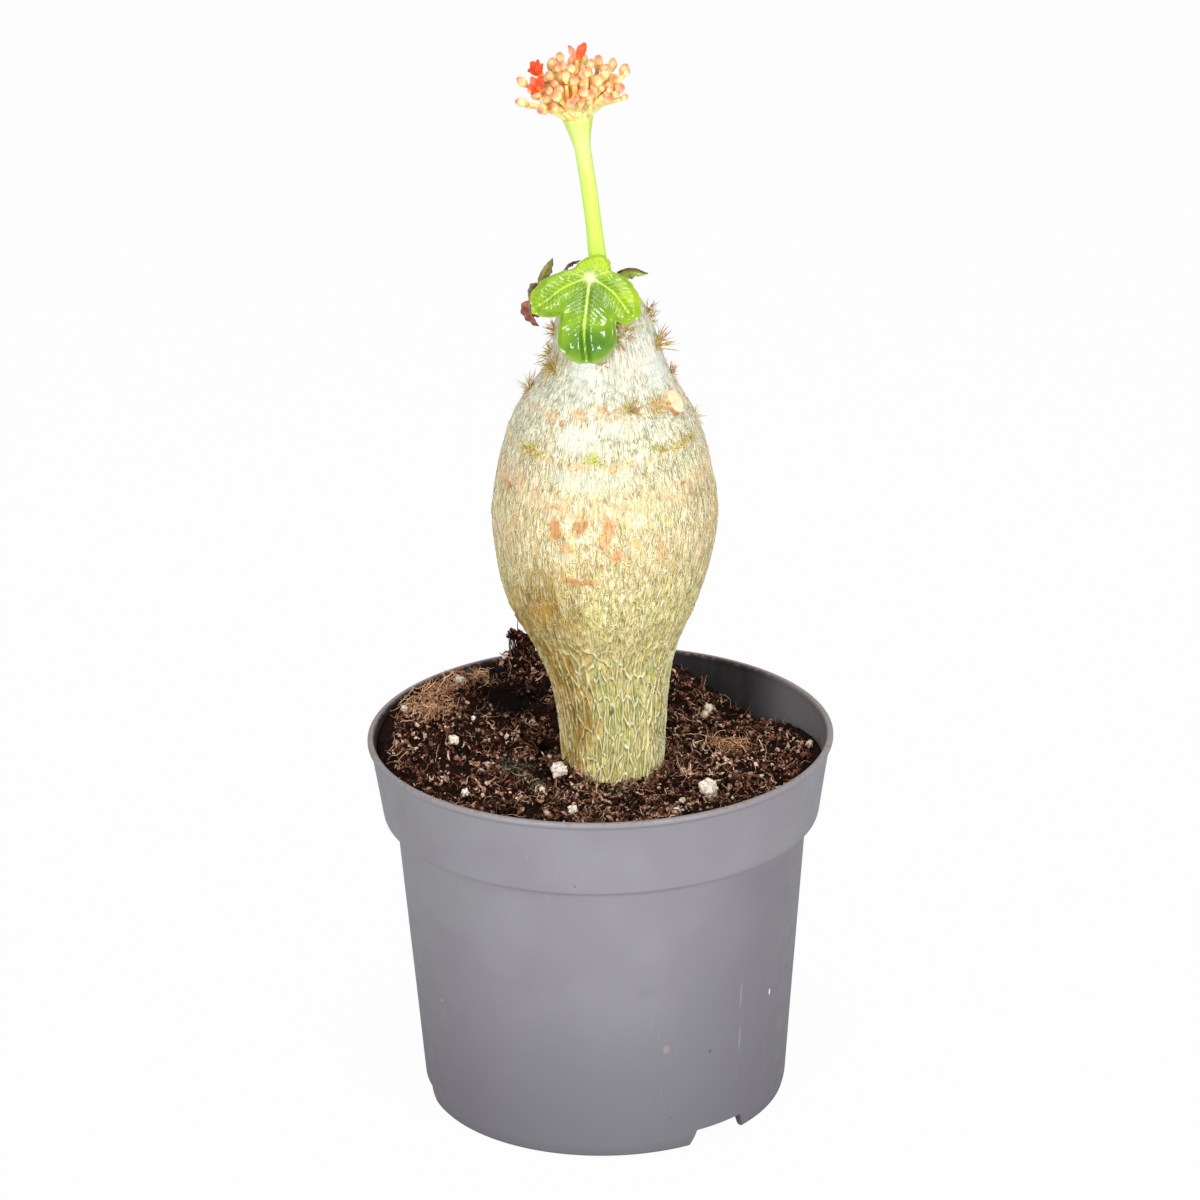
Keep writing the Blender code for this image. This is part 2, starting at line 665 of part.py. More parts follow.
def build_grains():
    for number, (x, y, radius) in enumerate(GRAINS, 1):
        work = bmesh.new()
        bmesh.ops.create_icosphere(work, subdivisions=2, radius=radius)
        for vert in work.verts:
            vert.co *= 0.9 + 0.16 * noise.noise(vert.co * 700 + Vector((number, 0, 0)))
        high = max(soil_height(x + radius * dx, y + radius * dy) for dx in (-1, 0, 1) for dy in (-1, 0, 1))
        bmesh.ops.translate(work, verts=work.verts, vec=(x, y, high + radius * 0.92 + SEAT_GAP))
        name = f"perlite_{number}"
        mesh = bpy.data.meshes.new(name)
        work.to_mesh(mesh)
        work.free()
        add_object(name, mesh, CHALK, 0.9)


def build_all():
    clear_scene()
    build_pot()
    build_soil()
    build_stem()
    build_stalk()
    build_flower_head()
    build_leaf()
    build_young_leaves()
    build_stub()
    build_tufts()
    build_grains()


build_all()
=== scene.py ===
import math
from functools import reduce

import bmesh
import bpy
import numpy as np
from mathutils import Matrix, Vector, noise
from mathutils.bvhtree import BVHTree


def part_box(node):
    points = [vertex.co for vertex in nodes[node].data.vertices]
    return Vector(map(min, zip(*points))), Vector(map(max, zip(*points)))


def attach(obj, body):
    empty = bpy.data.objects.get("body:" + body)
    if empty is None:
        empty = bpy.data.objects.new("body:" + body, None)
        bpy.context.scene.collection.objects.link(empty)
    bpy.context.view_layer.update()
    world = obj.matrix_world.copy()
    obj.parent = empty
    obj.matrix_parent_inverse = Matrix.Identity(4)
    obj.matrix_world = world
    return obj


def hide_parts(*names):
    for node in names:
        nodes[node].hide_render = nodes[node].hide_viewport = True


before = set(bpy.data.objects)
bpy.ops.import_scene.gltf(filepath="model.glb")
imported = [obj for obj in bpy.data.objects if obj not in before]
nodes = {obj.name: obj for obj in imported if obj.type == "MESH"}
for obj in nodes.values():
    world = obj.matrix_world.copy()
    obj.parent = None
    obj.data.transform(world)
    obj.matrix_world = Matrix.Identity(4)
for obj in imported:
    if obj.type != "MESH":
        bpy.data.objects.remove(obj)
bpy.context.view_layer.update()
print("frame loaded,", len(nodes), "pieces")

mm = 1000   # the tables below give millimetres, which are divided by this
upward = np.array([0, 0, 1.0])


# Small helpers for places on the frame

def compass(angle):
    turn = np.radians(angle)
    return np.stack([np.sin(turn), -np.cos(turn), np.zeros_like(turn)], -1)   # 0 is the front, 90 is +X


def corners(node):
    low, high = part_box(node)
    return np.array(low), np.array(high)


def middleOf(node):
    low, high = corners(node)
    return (low + high) / 2


def pointsOf(thing):
    mesh = thing.data
    flat = np.empty(len(mesh.vertices) * 3, np.float32)
    mesh.vertices.foreach_get("co", flat)
    return flat.reshape(-1, 3).astype(float)


def longAxis(node, away):
    points = pointsOf(nodes[node])
    centre = (points.min(0) + points.max(0)) / 2
    axis = np.linalg.svd(points - points.mean(0), full_matrices=False)[2][0]
    if axis @ (centre - away) < 0:
        axis = -axis
    along = (points - centre) @ axis
    return centre, axis, along.min(), along.max()


def unit(vector):
    return vector / np.linalg.norm(vector)


def numbered(name, count):
    return [f"{name}_{number}" for number in range(1, count + 1)]


def circle(sides):
    return np.linspace(0, math.tau, sides, endpoint=False)


def smoothStep(value, low, high):
    share = np.clip((np.asarray(value, float) - low) / (high - low), 0, 1)
    return share * share * (3 - 2 * share)


def smoothCurve(knots, values, at):
    knots, values = np.asarray(knots, float), np.asarray(values, float)
    slopes = np.gradient(values, knots, axis=0)
    spot = np.clip(np.searchsorted(knots, at) - 1, 0, len(knots) - 2)
    span = knots[spot + 1] - knots[spot]
    t = np.clip((at - knots[spot]) / span, 0, 1)
    if values.ndim > 1:
        t, span = t[:, None], span[:, None]
    return (
        (1 + 2 * t) * (1 - t) ** 2 * values[spot]
        + t * (1 - t) ** 2 * span * slopes[spot]
        + t * t * (3 - 2 * t) * values[spot + 1]
        + t * t * (t - 1) * span * slopes[spot + 1]
    )


def smoothLine(points, count):
    points = np.asarray(points, float)
    return smoothCurve(np.arange(len(points)), points, np.linspace(0, len(points) - 1, count))


def curvedPath(start, out, end, count):
    reach = np.linalg.norm(end - start) * 0.4
    bend = start + out * reach
    last = bend + (end - bend) * 0.34
    t = np.linspace(0, 1, count)[:, None]
    s = 1 - t
    return start * s ** 3 + bend * 3 * t * s * s + last * 3 * t * t * s + end * t ** 3


def noiseAt(points, scale, octaves=2):
    return np.array([noise.fractal(Vector(p) * scale, 0.9, 2.0, octaves) for p in points])


# Small helpers for meshes

def makeObject(name, points, faces, material=None, smooth=True):
    mesh = bpy.data.meshes.new(name)
    mesh.from_pydata(np.asarray(points, float).tolist(), [], faces)
    if smooth:
        mesh.shade_smooth()
    if material:
        mesh.materials.append(material)
    return linked(name, mesh)


def linked(name, data):
    made = bpy.data.objects.new(name, data)
    bpy.context.scene.collection.objects.link(made)
    return made


def addAttributes(piece, **fields):
    for name, values in fields.items():
        values = np.asarray(values, np.float32)
        kind, key = ("FLOAT", "value") if values.ndim == 1 else ("FLOAT_VECTOR", "vector")
        piece.data.attributes.new(name, kind, "POINT").data.foreach_set(key, values.ravel())


def closedSkin(rings, lowPole=None, highPole=None):
    rings = np.asarray(rings, float)
    rows, columns = rings.shape[:2]
    low = rings[0].mean(0) if lowPole is None else lowPole
    high = rings[-1].mean(0) if highPole is None else highPole
    grid = np.arange(rows * columns).reshape(rows, columns)
    right = np.roll(grid, -1, axis=1)
    faces = np.stack([grid[:-1], right[:-1], right[1:], grid[1:]], -1).reshape(-1, 4).tolist()
    first, last = rows * columns, (rows - 1) * columns
    for c in range(columns):
        d = (c + 1) % columns
        faces += [[first, d, c], [first + 1, last + c, last + d]]
    return np.vstack([rings.reshape(-1, 3), low, high]), faces


def tubeRings(path, radii, sides, flat=1.0):
    path = np.asarray(path, float)
    radii = np.broadcast_to(radii, len(path))
    along = np.gradient(path, axis=0)
    along /= np.linalg.norm(along, axis=1)[:, None]
    wide = np.array([1.0, 0, 0])
    if abs(along[0] @ wide) > 0.8:
        wide = np.array([0, 1.0, 0])
    turn = circle(sides)[:, None]
    rings = []
    for spot, way, radius in zip(path, along, radii):
        wide = unit(wide - way * (wide @ way))
        deep = np.cross(way, wide)
        rings.append(spot + radius * (np.cos(turn) * wide + np.sin(turn) * deep * flat))
    return np.array(rings)


def tube(path, radii, sides, flat=1.0):
    return closedSkin(tubeRings(path, radii, sides, flat))


def joined(name, parts, material):
    points, faces, values, count = [], [], {}, 0
    for partPoints, partFaces, partValues in parts:
        points.append(partPoints)
        faces += [[index + count for index in face] for face in partFaces]
        for key, value in partValues.items():
            values.setdefault(key, []).append(np.broadcast_to(value, len(partPoints)))
        count += len(partPoints)
    piece = makeObject(name, np.vstack(points), faces, material)
    addAttributes(piece, **{key: np.concatenate(found) for key, found in values.items()})
    return piece


def plainMesh(piece):
    graph = bpy.context.evaluated_depsgraph_get()
    done = bpy.data.meshes.new_from_object(
        piece.evaluated_get(graph), preserve_all_data_layers=True, depsgraph=graph
    )
    piece.modifiers.clear()
    piece.data = done
    done.name = piece.name
    return piece


def give(piece, slot, *replaced):
    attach(piece, "root")
    if replaced:
        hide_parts(*replaced)
    piece.data.update()
    print(piece.name, "done,", sum(len(f.vertices) - 2 for f in piece.data.polygons), "triangles")
    return piece


# Small helpers for node trees: a helper without a tree among its values finds it from its sockets

def addNode(tree, kind, values=None, **settings):
    made = tree.nodes.new(kind)
    for key, value in settings.items():
        setattr(made, key, value)
    for key, value in (values or {}).items():
        if isinstance(key, int):
            socket = made.inputs[key]
        else:
            socket = next(s for s in made.inputs if s.name == key and s.enabled)
        if isinstance(value, bpy.types.NodeSocket):
            tree.links.new(value, socket)
        elif value is not None:
            socket.default_value = value
    return made


def outOf(made, name):
    return next(s for s in made.outputs if s.name == name and s.enabled)


def treeOf(*values):
    return next(value.id_data for value in values if isinstance(value, bpy.types.NodeSocket))


def doMath(operation, *values, clamp=False):
    made = addNode(
        treeOf(*values), "ShaderNodeMath", dict(enumerate(values)), operation=operation, use_clamp=clamp
    )
    return made.outputs[0]


def chained(operation):
    return lambda *values: reduce(lambda first, second: doMath(operation, first, second), values)


times, plus, minus = (chained(operation) for operation in ("MULTIPLY", "ADD", "SUBTRACT"))


def without(value, share=None):
    return minus(1.0, value if share is None else times(value, share))


def doVector(operation, *values, **more):
    made = addNode(
        treeOf(*values), "ShaderNodeVectorMath", {**dict(enumerate(values)), **more}, operation=operation
    )
    return next(socket for socket in made.outputs if socket.enabled)


def scaled(vector, share):
    return doVector("SCALE", vector, Scale=share)


def combined(tree, *values):
    return addNode(tree, "ShaderNodeCombineXYZ", dict(enumerate(values))).outputs[0]


def axisOf(vector, axis):
    return addNode(treeOf(vector), "ShaderNodeSeparateXYZ", {0: vector}).outputs[axis]


def ranged(value, low, high, toLow=0.0, toHigh=1.0, way="SMOOTHSTEP"):
    return addNode(
        treeOf(value), "ShaderNodeMapRange",
        {"Value": value, "From Min": low, "From Max": high, "To Min": toLow, "To Max": toHigh},
        interpolation_type=way,
    ).outputs[0]


def noisy(place, scale, detail=3.0, roughness=0.55, tall=None):
    if tall is not None:
        place = doVector("MULTIPLY", place, (1, 1, tall))
    return addNode(
        treeOf(place), "ShaderNodeTexNoise",
        {"Vector": place, "Scale": scale, "Detail": detail, "Roughness": roughness},
    ).outputs[0]


def patchy(place, scale, low, high, detail=3.0, tall=None, toLow=0.0, toHigh=1.0):
    return ranged(noisy(place, scale, detail, tall=tall), low, high, toLow, toHigh)


def peak(value, low, lowTop, highTop, high):
    return times(ranged(value, low, lowTop), ranged(value, high, highTop))


def cells(place, scale):
    return addNode(treeOf(place), "ShaderNodeTexVoronoi", {"Vector": place, "Scale": scale}).outputs


def tone(code):
    def linear(value):
        value /= 255
        return value / 12.92 if value <= 0.04045 else ((value + 0.055) / 1.055) ** 2.4
    return (*(linear(value) for value in bytes.fromhex(code)), 1.0)


def blend(share, first, second):
    tree = treeOf(share)
    made = addNode(tree, "ShaderNodeMix", data_type="RGBA", blend_type="MIX")
    for index, value in ((0, share), (6, first), (7, second)):
        if isinstance(value, bpy.types.NodeSocket):
            tree.links.new(value, made.inputs[index])
        else:
            made.inputs[index].default_value = tone(value)
    return made.outputs[2]


def layered(colour, *layers):
    for mask, strength, shade in layers:
        colour = blend(times(mask, strength), colour, shade)
    return colour


def rampOf(value, *stops):
    made = addNode(treeOf(value), "ShaderNodeValToRGB", {0: value})
    band = made.color_ramp
    while len(band.elements) < len(stops):
        band.elements.new(1.0)
    for element, (place, shade) in zip(band.elements, stops):
        element.position = place
    for element, (place, shade) in zip(band.elements, stops):
        element.color = tone(shade)
    return made.outputs[0]


def newMaterial(name, roughness, specular, more=None):
    made = bpy.data.materials.new(name)
    made.use_nodes = True
    tree = made.node_tree
    for key, value in {"Roughness": roughness, "Specular IOR Level": specular, **(more or {})}.items():
        tree.nodes["Principled BSDF"].inputs[key].default_value = value
    return made, tree, addNode(tree, "ShaderNodeTexCoord").outputs["Object"]


def freshMaterial(name, roughness, sheen):
    return newMaterial(name, roughness, 0.32, {
        "Subsurface Weight": sheen, "Subsurface Radius": (0.0016, 0.0010, 0.0005), "Subsurface Scale": 0.8,
    })


# The bump is its height, strength and distance
def finished(made, colour, roughness=None, bump=None):
    tree = made.node_tree
    shader = tree.nodes["Principled BSDF"]
    tree.links.new(colour, shader.inputs["Base Color"])
    if roughness is not None:
        tree.links.new(roughness, shader.inputs["Roughness"])
    if bump is not None:
        relief = addNode(tree, "ShaderNodeBump", dict(zip(("Height", "Strength", "Distance"), bump)))
        tree.links.new(relief.outputs[0], shader.inputs["Normal"])
    return made


def valuesOf(tree, *names, key="Fac"):
    return [addNode(tree, "ShaderNodeAttribute", attribute_name=name).outputs[key] for name in names]


# A group's inputs are given by a default number, or else by the kind of their socket
def groupOf(name, kind, inputs, outputs):
    tree = bpy.data.node_groups.new(name, kind)
    for label, given in inputs.items():
        sort = {float: "Float", int: "Int"}.get(type(given), given)
        socket = tree.interface.new_socket(label, in_out="INPUT", socket_type="NodeSocket" + sort)
        if sort != given:
            socket.default_value = given
    for label, sort in outputs.items():
        tree.interface.new_socket(label, in_out="OUTPUT", socket_type="NodeSocket" + sort)
    return tree, tree.nodes.new("NodeGroupInput").outputs, tree.nodes.new("NodeGroupOutput").inputs


def useGroup(tree, group, values):
    kind = "ShaderNodeGroup" if group.bl_idname == "ShaderNodeTree" else "GeometryNodeGroup"
    made = tree.nodes.new(kind)
    made.node_tree = group
    for key, value in values.items():
        if isinstance(value, bpy.types.NodeSocket):
            tree.links.new(value, made.inputs[key])
        else:
            made.inputs[key].default_value = value
    return made.outputs


def shapeTree(name, inputs):
    return groupOf(
        name, "GeometryNodeTree", {"Geometry": "Geometry", **inputs, "Material": "Material"},
        {"Geometry": "Geometry"},
    )


def closeTree(tree, given, out, geometry):
    plain = addNode(tree, "GeometryNodeRealizeInstances", {"Geometry": geometry}).outputs[0]
    done = addNode(tree, "GeometryNodeSetMaterial", {"Geometry": plain, "Material": given["Material"]})
    tree.links.new(done.outputs[0], out["Geometry"])
    return tree


def movedBy(tree, geometry, offset):
    return addNode(tree, "GeometryNodeSetPosition", {"Geometry": geometry, "Offset": offset}).outputs[0]


def stored(tree, name, kind="FLOAT"):
    made = addNode(tree, "GeometryNodeInputNamedAttribute", {"Name": name}, data_type=kind)
    return outOf(made, "Attribute")


def randomOf(tree, low, high, seed, kind="FLOAT"):
    made = addNode(tree, "FunctionNodeRandomValue", {"Min": low, "Max": high, "Seed": seed}, data_type=kind)
    return outOf(made, "Value")


def runTree(piece, tree, values):
    modifier = piece.modifiers.new(tree.name, "NODES")
    modifier.node_group = tree
    for item in tree.interface.items_tree:
        if item.item_type == "SOCKET" and item.in_out == "INPUT" and item.name in values:
            modifier[item.identifier] = values[item.name]
    plainMesh(piece)


# Effects that several finishes share

def ridgeNet(kind):
    tree, given, out = groupOf(
        "ridge net " + kind, kind, {"Place": "Vector", "Wide": 0.002, "Tall": 0.006, "Line": 0.0002},
        {"Ridge": "Float", "Flank": "Float", "Cell": "Float"},
    )

    def noise2D(scale):
        values = {"Vector": place, "Scale": scale, "Detail": 2.0}
        return addNode(tree, "ShaderNodeTexNoise", values, noise_dimensions="2D").outputs

    def nearest(feature):
        values = {"Vector": place, "Scale": 1.0}
        return addNode(
            tree, "ShaderNodeTexVoronoi", values, feature=feature, voronoi_dimensions="2D"
        ).outputs

    size = combined(tree, given["Wide"], given["Tall"], 1.0)
    place = doVector("DIVIDE", given["Place"], size)
    sway = doVector("SUBTRACT", noise2D(0.8)["Color"], (0.5, 0.5, 0.5))
    place = doVector("ADD", place, doVector("MULTIPLY", sway, (0.9, 0.5, 0.0)))
    first, second = nearest("F1"), nearest("F2")
    across = doVector("SUBTRACT", second["Position"], first["Position"])
    middle = scaled(doVector("ADD", second["Position"], first["Position"]), 0.5)
    gap = doVector("DOT_PRODUCT", doVector("SUBTRACT", middle, place), across)
    reach = doVector("LENGTH", doVector("DIVIDE", across, size))
    distance = doMath("ABSOLUTE", doMath("DIVIDE", gap, reach))   # metres on the surface
    broken = ranged(noise2D(1.1)[0], 0.22, 0.40)
    ridge = ranged(distance, 0.0, given["Line"], 1.0, 0.0)
    # painted shade: a dark band along each side of a ridge
    beside = ranged(distance, times(given["Line"], 0.8), times(given["Line"], 2.1), 1.0, 0.0)
    tree.links.new(times(ridge, broken), out["Ridge"])
    tree.links.new(times(beside, without(ridge), broken), out["Flank"])
    tree.links.new(axisOf(first["Color"], 0), out["Cell"])
    return tree


def fleckGroup():
    tree, given, out = groupOf(
        "flecks", "ShaderNodeTree", {"Place": "Vector", "Spacing": 0.004, "Size": 0.1, "Share": 0.3},
        {"Mask": "Float"},
    )
    spots = cells(scaled(given["Place"], doMath("DIVIDE", 1.0, given["Spacing"])), 1.0)
    kept = doMath("LESS_THAN", axisOf(spots["Color"], 0), given["Share"])
    near = doMath("LESS_THAN", spots["Distance"], given["Size"])
    tree.links.new(times(kept, near), out["Mask"])
    return tree


barkNet = ridgeNet("ShaderNodeTree")
barkNetShape = ridgeNet("GeometryNodeTree")
flecks = fleckGroup()
print("shared node groups built")


def flecked(place, spacing, size, share):
    values = {"Place": place, "Spacing": spacing, "Size": size, "Share": share}
    return useGroup(treeOf(place), flecks, values)["Mask"]


# Swollen stem

stemSkin = {
    "columns": 396,
    "rows": 244,
    "buriedRows": 5,
    "soilLine": 0.084,
    "flatRadius": 0.0285,   # the bark's pattern is laid out on a drum of this radius
    "footNet": (0.0029, 0.0076, 0.00064),   # width and height of a mesh, reach of a ridge
    "bellyNet": (0.00130, 0.0038, 0.00027),
    "topNet": (0.00085, 0.0026, 0.00022),
    "netShift": (0.31, 0.17, 0.0),   # keeps the top net clear of the belly's
    "footHeight": 0.00064,
    "bellyHeight": 0.00014,
    "swell": 0.0004,
    "toneHeights": (0.086, 0.210),   # between which the tones run from the foot to the shoulder
    "gap": 0.0008,   # between the skin's ends and the frame's
}

# Places on the stem: angle from the front, height, half width and half height in millimetres, strength
stemMarks = {
    "scars": (
        (-26, 164, 1.9, 3, 1.2), (-12, 165.2, 2.2, 2.2, 1.25), (1, 165.2, 1.8, 3.2, 1),
        (-1, 161.8, 1.9, 2.2, 0.75), (6, 158, 2.1, 2, 0.95), (-20, 159.7, 1.9, 1.5, 0.8),
        (16, 160.8, 1.6, 1.4, 0.75), (29, 158, 1.4, 2.8, 0.75), (23, 164.8, 1.6, 2.2, 0.42),
        (-17, 150.8, 2.3, 1, 1.6), (-8, 150.6, 2.2, 0.9, 1.5), (-52, 163.6, 1.4, 1.4, 0.95),
        (-58, 158.4, 1.7, 1.2, 0.75), (-54, 165.5, 1, 1, 0.8), (38, 152, 1.6, 0.9, 0.8),
        (-39, 190.6, 2.2, 1.8, 0.7), (-30, 190, 1.2, 1.2, 0.5), (-18, 191.6, 1.7, 1.4, 0.8),
        (-3, 193.4, 2, 1.2, 0.7), (2, 192.6, 1.2, 1, 0.5), (-3, 136.2, 3.2, 0.6, 0.45),
        (2, 127.5, 3, 0.5, 0.4), (-19, 180, 2.2, 1.6, 0.42), (5, 180.4, 1.3, 2.2, 0.6),
        (15, 180.4, 1.3, 1.4, 0.5), (24, 177.6, 2.6, 0.6, 0.65), (22, 173.8, 2.2, 0.6, 0.45),
        (-74, 182, 1.8, 1.4, 0.8), (-62, 172, 3, 1.8, 0.55), (-28, 169.8, 2.6, 0.7, 0.8),
        (48, 173, 2.2, 1, 0.5), (150, 164, 1.9, 2.2, 0.9), (172, 165.5, 2, 1.6, 0.9),
        (78, 162.5, 1.7, 2.6, 0.9), (92, 166, 2, 1.8, 0.8), (66, 159, 1.4, 2, 0.7),
        (255, 165, 1.9, 2.4, 0.9), (270, 161, 1.6, 1.8, 0.8), (88, 190, 1.8, 1.4, 0.7),
        (198, 159, 1.6, 2.6, 0.7), (120, 157, 1.5, 1.8, 0.7), (230, 163, 1.7, 1.8, 0.8),
        (185, 151, 3.4, 0.8, 0.9), (98, 150, 1.4, 1.2, 0.5), (215, 190, 1.8, 1.2, 0.5),
    ),
    "stains": (
        (-38, 140, 8, 8, 1.15), (-60, 134, 7, 9.5, 1), (-54, 127, 8, 9.5, 1.25), (-50, 119, 6.8, 10.5, 1.5),
        (-46, 109, 5.2, 12.5, 1.5), (-60, 99, 6.6, 12.5, 1.5), (-80, 112, 6, 20, 1.3),
        (-34, 148.4, 5.6, 4.8, 0.8), (-22, 140, 4, 10, 0.75), (-24, 125, 3, 12, 0.6), (80, 150, 6, 14, 0.3),
        (70, 112, 3.5, 14, 0.35), (-66, 171, 6, 4, 0.35), (60, 170, 6, 4, 0.3), (140, 125, 6, 10, 0.5),
        (230, 118, 6, 12, 0.6), (190, 105, 5, 8, 0.4), (32, 96.5, 1.6, 2, 0.5),
    ),
    "knots": (
        (-1, 110.2, 0.8, 0.9, 1), (-88, 171.2, 0.8, 1.8, 0.9), (-86, 166.2, 0.6, 1, 0.8),
        (83, 178.6, 0.5, 1.4, 0.8), (86, 166, 0.5, 1.2, 0.7), (-32, 171.6, 0.5, 0.4, 0.5),
        (40, 164.2, 0.4, 0.6, 0.6), (9, 168.4, 0.4, 0.4, 0.6), (-52, 156, 0.4, 0.5, 0.5),
        (140, 150, 0.6, 0.8, 0.7), (205, 133, 0.7, 0.7, 0.7),
    ),
    "smooth": (
        (-22, 203.5, 4, 7, 1), (12, 201, 4, 4, 0.3), (58, 201, 4.8, 5.5, 1), (-16, 186.2, 6.2, 3.8, 0.9),
        (10, 188.5, 3.6, 2, 0.6), (-14, 176.5, 8, 3, 0.7), (12, 177.5, 5, 2.4, 0.5), (8, 159, 3, 1, 0.4),
        (17, 166, 2, 2.2, 0.7), (-10, 162, 3.2, 0.8, 0.8), (-20, 157, 3.6, 1.2, 0.5), (150, 201, 5, 5, 0.8),
        (200, 187, 6, 4, 0.6), (-120, 200, 4, 5, 0.7), (110, 176, 6, 3, 0.5),
    ),
}
# Ring bands: heights at the left side, the front, the right side and the back, half height, strength,
# and how many small scars lie along each
stemBands = (
    (0.1905, 0.1915, 0.1925, 0.1910, 0.0013, 0.50, 34),
    (0.1822, 0.1800, 0.1832, 0.1810, 0.0008, 0.72, 22),
    (0.1738, 0.1690, 0.1745, 0.1700, 0.0028, 0.72, 44),
    (0.1600, 0.1560, 0.1600, 0.1580, 0.0045, 0.15, 30),
)


def measureStem():
    points = pointsOf(nodes["swollen_stem"])
    rows = []
    for level in np.unique(np.round(points[:, 2], 4)):
        ring = points[np.abs(points[:, 2] - level) < 1e-4]
        middle = (ring.min(0) + ring.max(0)) / 2
        reach = np.hypot(ring[:, 0] - middle[0], ring[:, 1] - middle[1]).mean()
        rows.append((level, middle[0], middle[1], reach))
    return np.array(rows)


stemRows = measureStem()


def stemAt(height):
    height = np.atleast_1d(height)
    middle = smoothCurve(stemRows[:, 0], stemRows[:, 1:3], height)
    reach = smoothCurve(stemRows[:, 0], stemRows[:, 3], height)
    return middle, np.maximum(reach, 0.0002)


def onStem(angle, height):
    middle, reach = stemAt(height)
    spot = np.array([*middle[0], height]) + compass(angle) * reach[0]
    step = 0.0008
    slope = (stemAt(height + step)[1][0] - stemAt(height - step)[1][0]) / (2 * step)
    return spot, unit(compass(angle) - upward * slope)


def wrapped(angles):
    return (angles + 180) % 360 - 180


def bandLevel(band, angles):
    left, front, right, back = band[:4]
    return smoothCurve([-180, -80, 0, 80, 180], [back, left, front, right, back], wrapped(angles))


def bandScars():
    dice = np.random.default_rng(8)
    marks = []
    for band in stemBands:
        for angle in dice.uniform(-180, 180, band[6]):
            height = bandLevel(band, np.array([angle]))[0] + dice.normal(0, 1.1) * band[4]
            halfWidth = dice.uniform(0.0004, 0.0016)
            marks.append((angle, height, halfWidth, dice.uniform(0.0003, 0.0008), dice.uniform(0.25, 0.50)))
    return marks


def barkPlace(front, rear, share):
    apart = doVector("SUBTRACT", rear, front)
    return doVector("ADD", front, scaled(apart, doMath("GREATER_THAN", share, 0.5)))


def netOf(tree, group, place, name):
    return useGroup(tree, group, {"Place": place, **dict(zip(("Wide", "Tall", "Line"), stemSkin[name]))})


def barkShapeTree():
    sizes = {"Foot Height": 0.0004, "Belly Height": 0.0002, "Swell": 0.0003}
    tree, given, out = shapeTree("bark relief", sizes)
    place = tree.nodes.new("GeometryNodeInputPosition").outputs[0]
    height = axisOf(place, 2)
    front, rear = (stored(tree, name, "FLOAT_VECTOR") for name in ("front", "rear"))
    flat = barkPlace(front, rear, stored(tree, "turned"))
    foot, belly = (netOf(tree, barkNetShape, flat, name)["Ridge"] for name in ("footNet", "bellyNet"))
    low = ranged(height, 0.122, 0.150, 1.0, 0.0)
    high = times(ranged(height, 0.112, 0.140), ranged(height, 0.182, 0.205, 1.0, 0.35))
    rough = doMath("SUBTRACT", 1.0, stored(tree, "smooth"), clamp=True)
    lift = times(foot, given["Foot Height"], low)
    lift = times(plus(lift, times(belly, given["Belly Height"], high)), rough)
    lift = plus(lift, times(minus(noisy(place, 85.0, 2.0), 0.5), given["Swell"]))
    lift = plus(lift, times(stored(tree, "band"), 0.00025), times(stored(tree, "scar"), 0.00015))
    normal = tree.nodes.new("GeometryNodeInputNormal").outputs[0]
    return closeTree(tree, given, out, movedBy(tree, given["Geometry"], scaled(normal, lift)))


